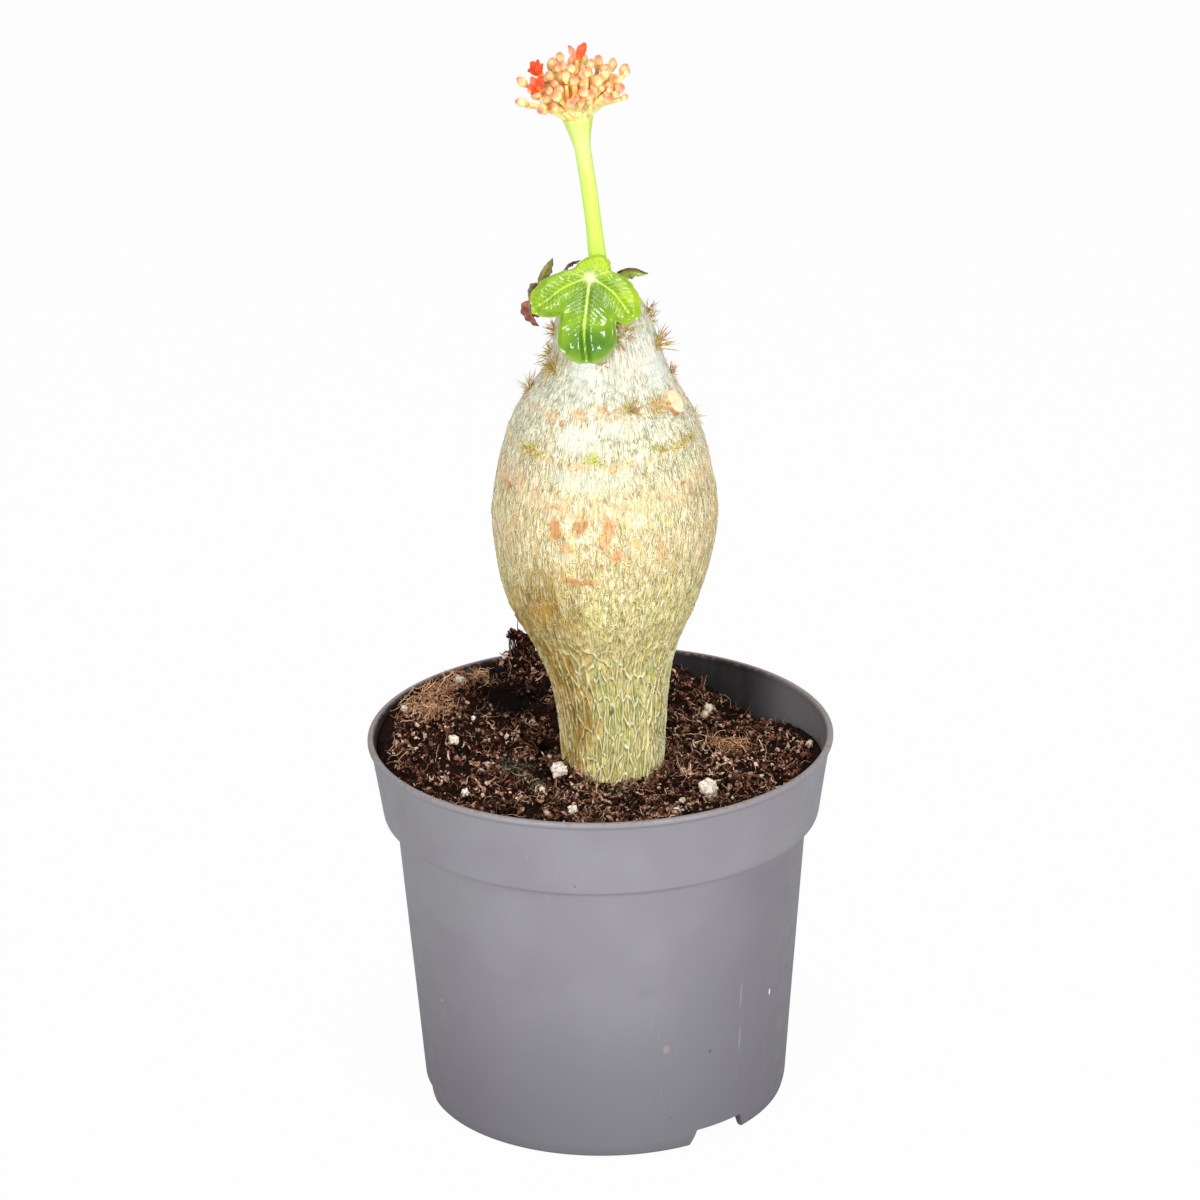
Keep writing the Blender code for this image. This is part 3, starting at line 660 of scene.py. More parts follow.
def barkMaterial():
    made, tree, place = newMaterial("bark", 0.5, 0.4)
    height = axisOf(place, 2)
    rise = ranged(height, *stemSkin["toneHeights"], way="LINEAR")
    smooth, scar, band, stain, knot = valuesOf(tree, "smooth", "scar", "band", "stain", "knot")
    flat = barkPlace(*valuesOf(tree, "front", "rear", key="Vector"), *valuesOf(tree, "turned"))
    foot, belly = (netOf(tree, barkNet, flat, name) for name in ("footNet", "bellyNet"))
    top = netOf(tree, barkNet, doVector("ADD", flat, stemSkin["netShift"]), "topNet")
    cloudy = noisy(place, 230.0, tall=0.45)
    wander = plus(height, times(minus(cloudy, 0.5), 0.03))
    low = ranged(wander, 0.118, 0.142, 1.0, 0.0)
    high = ranged(wander, 0.160, 0.190)

    # the ground tone is brightest at the foot, partly painted light that offsets the shade under the belly
    ground = rampOf(
        rise, (0.00, "feee96"), (0.20, "fcee9c"), (0.38, "eada86"), (0.52, "e3d38c"), (0.66, "e4d598"),
        (0.80, "deddba"), (0.95, "e8ead8"),
    )
    groove = rampOf(
        rise, (0.00, "7e6626"), (0.25, "7e6e2c"), (0.42, "847236"), (0.60, "927a46"), (0.78, "8a8458"),
        (0.95, "8a8e6c"),
    )
    crest = rampOf(
        rise, (0.00, "fffccc"), (0.40, "fffacc"), (0.62, "fff9de"), (0.80, "fefbe6"), (0.95, "f8f9ea"),
    )
    leafy = times(ranged(foot["Cell"], 0.62, 0.40), low)
    colour = layered(
        ground, (ranged(cloudy, 0.42, 0.66), 0.30, groove), (leafy, 0.55, "b6c460"),
        (times(ranged(foot["Cell"], 0.70, 0.90), low), 0.40, "cea664"),
        (patchy(place, 110.0, 0.50, 0.68, 2.0, 0.6), 0.34, "bcc67a"),
        (patchy(place, 75.0, 0.46, 0.66), 0.42, "eac694"),
    )

    fade = without(smooth, 0.8)
    bellyShare = times(without(low, 0.68), 0.85)
    crumbly = patchy(place, 1000.0, 0.30, 0.54, 2.0, 0.35, 0.40)
    ridges, shadedFlanks = (
        doMath("MAXIMUM", times(foot[name], low), times(belly[name], bellyShare))
        for name in ("Ridge", "Flank")
    )
    ridges = times(ridges, crumbly, fade)
    shadedFlanks = times(shadedFlanks, ranged(rise, 0.55, 1.0, 0.86, 0.45), crumbly, fade)
    slits = times(
        top["Ridge"], ranged(high, 0.0, 1.0, 0.70, 0.85), ranged(rise, 0.82, 0.97, 1.0, 0.45),
        patchy(place, 650.0, 0.38, 0.56, 2.0, 0.4), without(smooth, 0.55),
    )
    dashes = noisy(place, 1150.0, 2.0, tall=0.26)
    strong = times(without(low, 0.60), fade)
    darker = times(ranged(dashes, 0.53, 0.66), 0.62, strong)
    lighter = times(ranged(dashes, 0.47, 0.35), 0.60, strong)
    # the dark bands beside the ridges take the groove tone as painted shade
    for mask in (shadedFlanks, slits, darker):
        colour = blend(mask, colour, groove)
    for mask in (lighter, ridges):
        colour = blend(mask, colour, crest)

    arcs = peak(noisy(doVector("MULTIPLY", place, (0.35, 0.35, 5.0)), 260.0, 2.0), 0.57, 0.61, 0.62, 0.66)
    colour = blend(times(smooth, 0.66), colour, "dce1d6")
    colour = blend(times(arcs, times(smooth, 0.34)), colour, "9ea08c")
    ragged = noisy(place, 480.0)
    stained = doMath("MULTIPLY", stain, patchy(place, 420.0, 0.30, 0.54, 3.0, 0.22, 0.36), clamp=True)
    stained = times(stained, without(ridges, 0.42), without(leafy, 0.30))
    brown = blend(ranged(cloudy, 0.40, 0.62), "b4862c", "8c6a16")
    banded = times(band, ranged(ragged, 0.34, 0.56))
    colour = layered(colour, (stained, 0.92, brown), (banded, 0.80, "f8ce9c"))
    orange = blend(patchy(place, 1300.0, 0.40, 0.62), "eec286", "daa366")
    edged = plus(scar, times(minus(ragged, 0.5), 0.9))
    colour = blend(times(ranged(edged, 0.20, 0.95), minus(0.88, times(ridges, 0.40))), colour, orange)
    colour = layered(
        colour, (ranged(edged, 0.74, 1.20), 0.6, "ba7a46"),
        (times(peak(edged, 0.34, 0.48, 0.52, 0.66), patchy(place, 800.0, 0.5, 0.62, 2.0)), 0.7, "a66030"),
        (flecked(place, 0.0042, 0.10, 0.16), 0.5, "cc8c58"),
        (ranged(plus(knot, minus(ragged, 0.5)), 0.30, 0.62), 0.85, "705850"),
    )
    relief = plus(ridges, times(noisy(place, 1500.0, tall=0.4), 0.5))
    relief = minus(relief, times(dashes, 1.6), times(slits, 0.8), times(arcs, times(smooth, 0.12)))
    return finished(made, colour, ranged(ridges, 0.0, 1.0, 0.56, 0.42), (relief, 1.0, 0.00026))


def buildStem():
    low, high = corners("swollen_stem")
    soilLine = stemSkin["soilLine"]
    buried = np.linspace(low[2] + stemSkin["gap"], soilLine, stemSkin["buriedRows"], endpoint=False)
    heights = np.concatenate([buried, np.linspace(soilLine, high[2] - 0.0006, stemSkin["rows"])])
    turns = np.linspace(-180, 180, stemSkin["columns"], endpoint=False)
    middle, reach = stemAt(heights)
    rings = np.zeros((len(heights), len(turns), 3))
    rings[:, :, :2] = middle[:, None, :]
    rings[:, :, 2] = heights[:, None]
    rings += compass(turns)[None] * reach[:, None, None]
    points, faces = closedSkin(rings, highPole=np.array([*middle[-1], high[2]]))
    stem = makeObject("swollen_bark", points, faces)
    allTurns = np.append(np.tile(turns, len(heights)), [0, 0])
    allHeights = points[:, 2]
    allReach = np.append(np.repeat(reach, len(turns)), [0.001, 0.001])
    warp = (0.7 * noiseAt(points, 330.0), 0.7 * noiseAt(points + 0.5, 330.0))

    def markField(name, core=0.55, rim=1.35, more=(), calm=1.0):
        found = np.zeros(len(points))
        marks = [*(np.array(stemMarks[name]) / (1, mm, mm, mm, 1)), *more]
        for angle, height, halfWidth, halfHeight, strength in marks:
            around = np.radians(wrapped(allTurns - angle)) * allReach
            distance = np.hypot(
                around / halfWidth + calm * warp[0], (allHeights - height) / halfHeight + calm * warp[1]
            )
            found = np.maximum(found, strength * (1 - smoothStep(distance, core, rim)))
        return found

    banded = np.zeros(len(points))
    for band in stemBands:
        distance = (allHeights - bandLevel(band, allTurns)) / band[4] + 1.3 * warp[1]
        banded = np.maximum(banded, band[5] * np.exp(-distance ** 2))
    behind = smoothStep(np.abs(allTurns), 140, 176) + 0.3 * warp[0] * (np.abs(allTurns) > 140)
    level = np.zeros(len(points))
    drum = stemSkin["flatRadius"]
    addAttributes(
        stem, smooth=markField("smooth"), scar=markField("scars", more=bandScars(), calm=0.5),
        stain=markField("stains", 0.0, 1.75), knot=markField("knots"), band=banded, turned=behind,
        front=np.stack([np.radians(allTurns) * drum, allHeights, level], -1),
        rear=np.stack([np.radians(allTurns % 360) * drum + 0.5, allHeights, level], -1),
    )
    runTree(stem, barkShapeTree(), {
        "Foot Height": stemSkin["footHeight"], "Belly Height": stemSkin["bellyHeight"],
        "Swell": stemSkin["swell"], "Material": barkMaterial(),
    })
    stem.data.shade_smooth()
    give(stem, "stem_bark", "swollen_stem")


buildStem()


# Nursery pot

potShell = {
    "columns": 168,
    "cornerRound": 0.0006,
    "longestSpan": 0.0100,
    "wave": 0.00016,
    "notchAngles": (38, 158, 278),
    "notchWidth": 0.0186,
    "notchTopWidth": 0.0142,
    "notchHeight": 0.0046,
    "drainCount": 8,
    "drainRadius": 0.0035,
    "drainCircle": 0.033,
    "wallFoot": 0.0473,   # outer radius at the foot, at the wall's top and on the band
    "wallTop": 0.0531,
    "bandRadius": 0.0565,
    "wallHeight": 0.0764,
    "bandHeight": 0.0778,
}
# Turned outline as radius and height in millimetres: underside, outer wall and band, lip, inner wall, floor
potOutside = np.array((
    (20, 4.9), (44.3, 4.9), (44.6, 4.4), (44.6, 0), (46, 0), (46.7, 0.6), (47.3, 3), (53.1, 76.4),
    (53.7, 77.4), (55.5, 77.8), (56.3, 78.2), (56.5, 79), (59.2, 97), (60, 97.6), (60, 98.4), (59.6, 98.8),
    (58.6, 98.8), (58.2, 98.4),
)) / mm
potInside = np.array((
    (58.2, 97.2), (55.3, 80), (54.5, 78.8), (52.5, 77.6), (51.9, 76.4), (46.1, 8.1), (43.3, 6.1), (20, 6.1),
)) / mm


def roundedLine(points, size, longest):
    made = [points[0]]
    for before, corner, after in zip(points, points[1:], points[2:]):
        back, on = before - corner, after - corner
        start, end = (corner + unit(way) * min(size, 0.42 * np.linalg.norm(way)) for way in (back, on))
        for t in (0.0, 0.33, 0.67, 1.0):
            made.append(start * (1 - t) ** 2 + corner * 2 * t * (1 - t) + end * t * t)
    made.append(points[-1])
    spread = [made[0]]
    for first, last in zip(made, made[1:]):
        steps = max(1, math.ceil(np.linalg.norm(last - first) / longest))
        spread += [first + (last - first) * step / steps for step in range(1, steps + 1)]
    return np.array(spread)


def footCutters():
    wedges = []
    wedgeFaces = [[3, 2, 1, 0], [4, 5, 6, 7], [0, 1, 5, 4], [1, 2, 6, 5], [2, 3, 7, 6], [3, 0, 4, 7]]
    levels = ((potShell["notchWidth"], -0.001), (potShell["notchTopWidth"], potShell["notchHeight"]))
    for angle in potShell["notchAngles"]:
        out, side = compass(angle), compass(angle + 90)
        rows = [
            out * reach + side * sign * width / 2 + upward * height for width, height in levels
            for reach, sign in ((0.0385, -1), (0.0515, -1), (0.0515, 1), (0.0385, 1))
        ]
        wedges.append((np.array(rows), wedgeFaces, {}))
    turns = compass(np.linspace(0, 360, 24, endpoint=False)) * potShell["drainRadius"]
    for i in range(potShell["drainCount"]):
        spot = compass(360 * (i + 0.5) / potShell["drainCount"]) * potShell["drainCircle"]
        wedges.append((*closedSkin([spot + turns + upward * height for height in (0.002, 0.009)]), {}))
    return joined("foot_cutters", wedges, None)


# Marks on the outer wall: angle, height, half width and half height in millimetres, tone, strength
potMarks = (
    (44.3, 27.3, 0.4, 5.6, "b4b3bc", 0.24), (43.8, 40.2, 0.4, 6.6, "b4b3bc", 0.24),
    (57.9, 36.6, 0.4, 1.0, "f0efee", 0.90), (-7.0, 80.6, 0.5, 0.6, "463e3c", 0.70),
    (12.0, 48.0, 2.6, 2.0, "706c70", 0.22), (18.2, 30.6, 1.0, 1.2, "aa9284", 0.45),
    (168.0, 35.0, 3.0, 0.9, "bebcbe", 0.25), (-120.0, 50.0, 0.6, 7.0, "d0cfd2", 0.22),
)


def markOf(place, angle, height, halfWidth, halfHeight):
    foot, top = potShell["wallFoot"], potShell["wallTop"]
    wall = foot + (top - foot) * height / potShell["wallHeight"]
    if height >= potShell["bandHeight"]:
        wall = potShell["bandRadius"]
    apart = doVector("SUBTRACT", place, tuple(compass(angle) * wall + upward * height))
    apart = doVector("DIVIDE", apart, (halfWidth, halfWidth, halfHeight))
    return ranged(doVector("LENGTH", apart), 0.55, 1.25, 1.0, 0.0)


def potMaterial():
    made, tree, place = newMaterial("pot plastic", 0.42, 0.4)
    right, height = axisOf(place, 0), axisOf(place, 2)
    grey = blend(patchy(place, 38.0, 0.35, 0.65, 2.0), "89878d", "8f8e93")
    # painted shade: the outer wall grows darker towards the foot
    grey = blend(ranged(height, 0.0, 0.078, 0.92, 0.18), grey, "6c6a71")
    # painted shade: the outer wall's right side below the band is darkened
    rightSideShade = times(ranged(right, 0.008, 0.044), ranged(height, 0.072, 0.082, 1.0, 0.0))
    grey = blend(times(rightSideShade, 0.5), grey, "6a686f")
    dark = blend(patchy(place, 420.0, 0.35, 0.75, 2.0, 0.04), "2f2d2f", "3a373a")
    # painted light: the inner wall turns lighter towards +X
    dark = blend(ranged(right, 0.038, 0.052), dark, "6a666a")
    colour = blend(*valuesOf(tree, "inside"), grey, dark)
    scuff = times(patchy(place, 900.0, 0.64, 0.74, 2.0, 0.08), patchy(place, 24.0, 0.58, 0.68, 1.0))
    colour = layered(
        colour, (scuff, 0.07, "cdccd0"),
        (flecked(place, 0.0085, 0.034, 0.26), 0.75, "dedcda"),
        (times(patchy(place, 700.0, 0.46, 0.66), ranged(height, 0.0976, 0.0988)), 0.75, "8a6a56"),
        (flecked(place, 0.0125, 0.035, 0.35), 0.7, "3c3432"),
    )
    for angle, *sizes, shade, strength in potMarks:
        colour = layered(colour, (markOf(place, angle, *(size / mm for size in sizes)), strength, shade))
    relief = plus(noisy(place, 2600.0, 2.0), times(noisy(place, 220.0, 1.0), 2.0))
    rough = ranged(noisy(place, 160.0), 0.3, 0.7, 0.38, 0.50)
    return finished(made, colour, rough, (relief, 0.16, 0.0001))


def innerRadius(height):
    wall = potInside[::-1]
    return np.interp(height, wall[:, 1], wall[:, 0])


def buildPot():
    outline = roundedLine(
        np.concatenate([potOutside, potInside]), potShell["cornerRound"], potShell["longestSpan"]
    )
    turns = np.linspace(0, 360, potShell["columns"], endpoint=False)
    around = compass(turns)
    lean = np.radians(turns)
    wave = potShell["wave"] * (np.sin(2 * lean + 0.7) + 0.5 * np.sin(5 * lean + 2.1))
    rings = []
    for radius, height in outline:
        swell = wave * smoothStep(height, 0.002, 0.03) * (radius > 0.04) * (height < 0.095)
        rings.append(around * (radius + swell)[:, None] + upward * height)
    points, faces = closedSkin(rings, upward * potOutside[0][1], upward * potInside[-1][1])
    pot = makeObject("pot_shell", points, faces, potMaterial())
    cutters = footCutters()
    cut = pot.modifiers.new("notches and drains", "BOOLEAN")
    cut.operation, cut.solver, cut.object = "DIFFERENCE", "EXACT", cutters
    plainMesh(pot)
    bpy.data.objects.remove(cutters)
    pot.data.shade_smooth()
    pot.data.set_sharp_from_angle(angle=math.radians(42))
    spots = pointsOf(pot)
    radius = np.hypot(spots[:, 0], spots[:, 1])
    addAttributes(pot, inside=(radius < innerRadius(spots[:, 2]) + 0.0004) & (spots[:, 2] > 0.0055))
    give(pot, "pot_plastic", "pot")


buildPot()


# Soil

peatBed = {
    "columns": 340,
    "rows": 92,
    "wallGap": 0.0004,
    "collar": 0.0105,
    "lump": 0.0018,
    "grit": 0.0011,
    "hollowDepth": 0.0022,
    "level": 0.092,   # where the bed meets the wall
    "innerFoot": 0.0081,
    "footTaper": 0.94,
    "smoothings": 6,
    "looseFrom": 0.0125,   # crumbs and fibres lie between these radii
    "looseTo": 0.0540,
    "wallRows": (0.0764, 0.0776, 0.0788, 0.0800),
    "stemReach": 0.0145,   # the frame's soil is measured between these radii
    "rimReach": 0.0545,
}
# Places on the soil in millimetres: x, y, radius
peatPatches = {
    "hollow": (
        (-25.2, 28.5, 9), (-16, 32, 5), (-29, 40, 6), (-14, 6, 5.6), (32, 13, 6), (-24, -33, 4.5),
        (14, 33, 6),
    ),
    "coir": (
        (-43, 33, 10), (-46, 18, 8.5), (-33, 40, 5), (33, 6, 6),
    ),
    "moss": (
        (-21.5, -8, 6.2), (-16.5, -16, 4), (4, -19, 3),
    ),
}
soilFaces = [tuple(face.vertices) for face in nodes["soil"].data.polygons]
soilSearch = BVHTree.FromPolygons([Vector(p) for p in pointsOf(nodes["soil"])], soilFaces)
stemMiddle = stemAt(0.09)[0][0]


def soilTop(x, y):
    dx, dy = x - stemMiddle[0], y - stemMiddle[1]
    away = max(math.hypot(dx, dy), 1e-6)
    nearest, furthest = peatBed["stemReach"], peatBed["rimReach"]
    if away < nearest:
        x, y = stemMiddle[0] + dx / away * nearest, stemMiddle[1] + dy / away * nearest
    reach = math.hypot(x, y)
    if reach > furthest:
        x, y = x / reach * furthest, y / reach * furthest
    hit = soilSearch.ray_cast(Vector((x, y, 0.2)), Vector((0, 0, -1)))[0]
    return hit.z if hit else 0.09


def patchField(points, name):
    found = np.zeros(len(points))
    for x, y, radius in np.array(peatPatches[name]) / mm:
        distance = np.hypot(points[:, 0] - x, points[:, 1] - y) / radius
        found = np.maximum(found, 1 - smoothStep(distance, 0.45, 1.15))
    return found


def peatReliefTree():
    tree, given, out = shapeTree("peat relief", {"Lump": 0.001, "Grit": 0.0005})
    place = tree.nodes.new("GeometryNodeInputPosition").outputs[0]
    lump = times(minus(noisy(place, 150.0), 0.5), times(given["Lump"], 2.0))
    grit = times(minus(noisy(place, 620.0, 4.0, 0.7), 0.5), times(given["Grit"], 2.0))
    lift = times(plus(lump, grit), stored(tree, "loose"))
    return closeTree(tree, given, out, movedBy(tree, given["Geometry"], combined(tree, None, None, lift)))


def peatMaterial(name, lean):
    made, tree, place = newMaterial(name, 0.85, 0.08)
    tint, hollow = valuesOf(tree, "tint", "hollow")
    mixed = plus(times(tint, 0.86), times(noisy(place, 900.0, 2.0), 0.40))
    mixed = plus(mixed, times(axisOf(cells(place, 1500.0)["Color"], 0), 0.28), lean - 0.19)
    colour = rampOf(
        mixed, (0.05, "0e0603"), (0.30, "2c150e"), (0.52, "5a3426"), (0.70, "885a44"), (0.84, "bc9278"),
        (0.96, "e4c8b2"),
    )
    # painted shade: the hollows are coloured near black
    colour = layered(colour, (hollow, 0.94, "090403"))
    return finished(made, colour, bump=(noisy(place, 2400.0), 0.6, 0.0003))


def buildPeatBed():
    columns, rows, wallGap = (peatBed[name] for name in ("columns", "rows", "wallGap"))
    around = compass(np.linspace(0, 360, columns, endpoint=False))
    middle = np.array([*stemMiddle, 0])
    near = middle + around * peatBed["collar"]
    far = around * (innerRadius(peatBed["level"]) - wallGap)
    top = near[None] + (far - near)[None] * np.linspace(1, 0, rows)[:, None, None]
    top[:, :, 2] = [[soilTop(*spot) for spot in ring[:, :2]] for ring in top]
    for _ in range(peatBed["smoothings"]):
        top[:, :, 2] = (np.roll(top[:, :, 2], 1, 1) + np.roll(top[:, :, 2], -1, 1)) / 2
        top[1:-1, :, 2] = (top[:-2, :, 2] + 2 * top[1:-1, :, 2] + top[2:, :, 2]) / 4
    top[0, :, :2] = around[:, :2] * (innerRadius(top[0, :, 2]) - wallGap)[:, None]
    low = corners("soil")[0][2]
    start = peatBed["innerFoot"]
    walls = [
        around * (innerRadius(max(height, start)) - wallGap) + upward * height
        for height in (low, start, *peatBed["wallRows"])
    ]
    walls[0][:, :2] *= peatBed["footTaper"]
    rings = np.concatenate([np.array(walls), top])
    points, faces = closedSkin(rings, upward * low, middle + upward * top[-1, :, 2].mean())
    loose = np.append((np.repeat(np.arange(len(rings)), columns) > len(walls)).astype(float), [0, 1])
    radius = np.hypot(points[:, 0], points[:, 1])
    fromStem = np.hypot(points[:, 0] - middle[0], points[:, 1] - middle[1])
    # the hollows are sunk here, and the finish paints them in shade
    hollow = patchField(points, "hollow") * loose
    bed = makeObject("peat_bed", points - np.outer(hollow, upward * peatBed["hollowDepth"]), faces)
    bare = loose * (radius < peatBed["looseTo"]) * (fromStem > peatBed["looseFrom"])
    clumps = 0.5 + noiseAt(points, 165.0)
    bare *= 0.18 + 0.82 * smoothStep(clumps, 0.22, 0.62) + 1.1 * (1 - smoothStep(fromStem, 0.0145, 0.0185))
    coir, moss = (patchField(points, name) * bare for name in ("coir", "moss"))
    addAttributes(
        bed, loose=loose, tint=np.full(len(points), 0.25), hollow=hollow,
        crumbly=bare * (1 - 0.90 * hollow) * (1 - 0.5 * moss), coir=coir, moss=moss,
    )
    # the bed takes a darker tone than the crumbs, partly peat's own colour and partly painted shade in the
    # gaps between them
    runTree(bed, peatReliefTree(), {
        "Lump": peatBed["lump"], "Grit": peatBed["grit"], "Material": peatMaterial("peat bed", -0.22),
    })
    bed.data.shade_smooth()
    return give(bed, "soil_peat", "soil")


peat = buildPeatBed()


noise.seed_set(1)   # without it the crumbs' shapes follow the clock


def crumbShape(name, seed, size):
    work = bmesh.new()
    bmesh.ops.create_icosphere(work, subdivisions=1, radius=size)
    for vert in work.verts:
        wild = noise.noise_vector(vert.co / size * 0.9 + Vector((seed * 3.1, seed, 0)))
        vert.co = vert.co * 0.9 + wild * size * 0.75
        vert.co.z *= 0.62
        vert.co.x *= 1.25
    mesh = bpy.data.meshes.new(name)
    work.to_mesh(mesh)
    work.free()
    return bpy.data.objects.new(name, mesh)


def strandShape(name, seed, length, radius, curl, sides, steps, flat=1.0):
    dice = np.random.default_rng(seed)
    way = np.array([1.0, 0, 0])
    path = [np.array([-length / 2, 0, 0])]
    for _ in range(steps):
        way = unit(way + dice.normal(0, curl, 3) * np.array([0.6, 1.0, 0.7]))
        path.append(path[-1] + way * length / steps)
    path = smoothLine(path, steps + 1)
    radii = radius * (0.55 + 0.45 * np.sin(np.linspace(0.25, 2.9, steps + 1)))
    points, faces = tube(path, radii * dice.uniform(0.8, 1.2, steps + 1), sides, flat)
    mesh = bpy.data.meshes.new(name)
    mesh.from_pydata(points.tolist(), [], faces)
    return bpy.data.objects.new(name, mesh)


def scatterTree():
    tree, given, out = shapeTree("scatter over soil", {
        "Shapes": "Collection", "Where": "String", "Density": 1e6, "Smallest": 0.5, "Largest": 1.5,
        "Lean": 0.4, "Sink": 0.0, "Rise": 0.0006, "Seed": 1,
    })
    where = stored(tree, given["Where"])
    spread = addNode(tree, "GeometryNodeDistributePointsOnFaces", {
        "Mesh": given["Geometry"], "Density": times(where, given["Density"]), "Seed": given["Seed"],
    }).outputs
    lift = randomOf(tree, times(given["Sink"], -1.0), given["Rise"], given["Seed"])
    raised = movedBy(tree, spread["Points"], scaled(spread["Normal"], lift))
    back = times(given["Lean"], -1.0)
    low, high = combined(tree, back, back), combined(tree, given["Lean"], given["Lean"], math.tau)
    twist = randomOf(tree, low, high, 11, "FLOAT_VECTOR")
    turned = addNode(tree, "FunctionNodeEulerToRotation", {0: twist}).outputs[0]
    facing = addNode(
        tree, "FunctionNodeRotateRotation", {0: spread["Rotation"], 1: turned}, rotation_space="LOCAL"
    ).outputs[0]
    grade = doMath("POWER", randomOf(tree, 0.0, 1.0, 5), 2.0)
    shapes = addNode(tree, "GeometryNodeCollectionInfo", {
        "Collection": given["Shapes"], "Separate Children": True, "Reset Children": True,
    }).outputs[0]
    laid = addNode(tree, "GeometryNodeInstanceOnPoints", {
        "Points": raised, "Instance": shapes, "Pick Instance": True,
        "Instance Index": randomOf(tree, 0, 4, 7, "INT"), "Rotation": facing,
        "Scale": ranged(grade, 0.0, 1.0, given["Smallest"], given["Largest"], "LINEAR"),
    }).outputs[0]
    marked = addNode(tree, "GeometryNodeStoreNamedAttribute", {
        "Geometry": laid, "Name": "tint", "Value": randomOf(tree, 0.0, 1.0, 3),
    }, data_type="FLOAT", domain="INSTANCE").outputs[0]
    return closeTree(tree, given, out, marked)


soilScatter = scatterTree()


def scatterOn(name, shapes, where, density, sizes, lean, sink, rise, seed, material):
    store = bpy.data.collections.new(name + " shapes")
    for shape in shapes:
        store.objects.link(shape)
    piece = linked(name, peat.data.copy())
    runTree(piece, soilScatter, {
        "Where": where, "Density": density, "Smallest": sizes[0], "Largest": sizes[1], "Lean": lean,
        "Sink": sink, "Rise": rise, "Seed": seed, "Material": material, "Shapes": store,
    })
    for shape in shapes:
        bpy.data.objects.remove(shape)
    bpy.data.collections.remove(store)
    give(piece, "soil_peat")


def coirMaterial(name, *stops):
    made, tree, place = newMaterial(name, 0.75, 0.3)
    tint = plus(*valuesOf(tree, "tint"), times(noisy(place, 500.0), 0.2))
    return finished(made, rampOf(tint, *stops))


def strands(name, seed, *sizes):
    return [strandShape(f"{name} {i}", seed + i, *sizes) for i in range(5)]


scatterOn(
    "peat_crumbs", [crumbShape(f"crumb {i}", i, 0.00038) for i in range(5)],
    "crumbly", 1.11e6, (0.45, 2.2), 1.2, 0.0002, 0.0015, 2, peatMaterial("peat crumbs", -0.08),
)
scatterOn(
    "peat_shreds", strands("shred", 20, 0.0024, 0.00016, 0.6, 4, 4, 0.6),
    "crumbly", 3.8e5, (0.5, 1.7), 0.9, 0.0, 0.0017, 4, peatMaterial("peat shreds", 0.02),
)
scatterOn(
    "peat_fibres", strands("fibre", 40, 0.0052, 0.000055, 0.5, 3, 8),
    "crumbly", 2.85e5, (0.35, 1.5), 0.7, 0.0, 0.0018, 6,
    coirMaterial("peat fibres", (0.1, "341e16"), (0.5, "64402e"), (0.8, "a47a5e"), (1.0, "d6b698")),
)
scatterOn(
    "coir_fibres", strands("coir", 60, 0.0060, 0.00009, 0.6, 3, 9),
    "coir", 2.6e6, (0.4, 1.35), 0.9, 0.0, 0.0022, 8,
    coirMaterial("coir", (0.05, "7a4c30"), (0.5, "b27c56"), (0.85, "dcac80"), (1.0, "f2d2ae")),
)
scatterOn(
    "moss_blades", strands("moss", 80, 0.0016, 0.00013, 0.5, 3, 3),
    "moss", 5.0e6, (0.5, 1.3), 1.3, 0.0, 0.0008, 9,
    coirMaterial("moss", (0.1, "22211a"), (0.6, "424234"), (1.0, "96947c")),
)


# Grains of perlite beside the ones the frame carries, in millimetres: x, y, radius
smallGrains = np.array((
    (-51, 17, 0.9), (20.5, -29, 0.8), (18.8, -37, 1), (27.5, 29, 1), (54, 3, 0.9), (-25, 43, 0.7),
    (-13.1, -1, 0.6), (-15, -21.5, 0.8), (12, -44, 0.6), (41, -16, 0.5), (-33, 13, 0.6), (10, 46, 0.7),
)) / mm


def perliteMaterial():
    made, tree, place = newMaterial("perlite", 0.8, 0.3)
    white = blend(*valuesOf(tree, "tint"), "eee8de", "e0ceb0")
    colour = layered(white, (patchy(place, 1500.0, 0.46, 0.62), 0.7, "9c745c"))
    return finished(made, colour, bump=(noisy(place, 1800.0), 0.5, 0.0002))


def grainShape(centre, radius, seed, detail):
    work = bmesh.new()
    bmesh.ops.create_icosphere(work, subdivisions=detail, radius=1.0)
    shift = Vector((seed * 1.7, seed * 0.9, seed * 2.3))
    points = []
    for vert in work.verts:
        rough = 1 + 0.55 * noise.noise(vert.co * 1.5 + shift) + 0.22 * noise.noise(vert.co * 4.5 + shift)
        points.append(np.array(centre) + np.array(vert.co) * radius * rough)
    faces = [[vert.index for vert in face.verts] for face in work.faces]
    work.free()
    return np.array(points), faces


def buildPerlite():
    parts = []
    for number, node in enumerate(numbered("perlite", 7), 1):
        low, high = corners(node)
        grain = grainShape((low + high) / 2, (high - low).max() / 2 * 1.1, number, 4)
        parts.append((*grain, {"tint": (number * 0.37) % 1 * 0.5}))
    for number, (x, y, radius) in enumerate(smallGrains):
        grain = grainShape((x, y, soilTop(x, y) + radius * 0.9 + 0.0006), radius, 20 + number, 3)
        parts.append((*grain, {"tint": (number * 0.61) % 1}))
    give(joined("perlite_grains", parts, perliteMaterial()), "perlite_white", *numbered("perlite", 7))


buildPerlite()


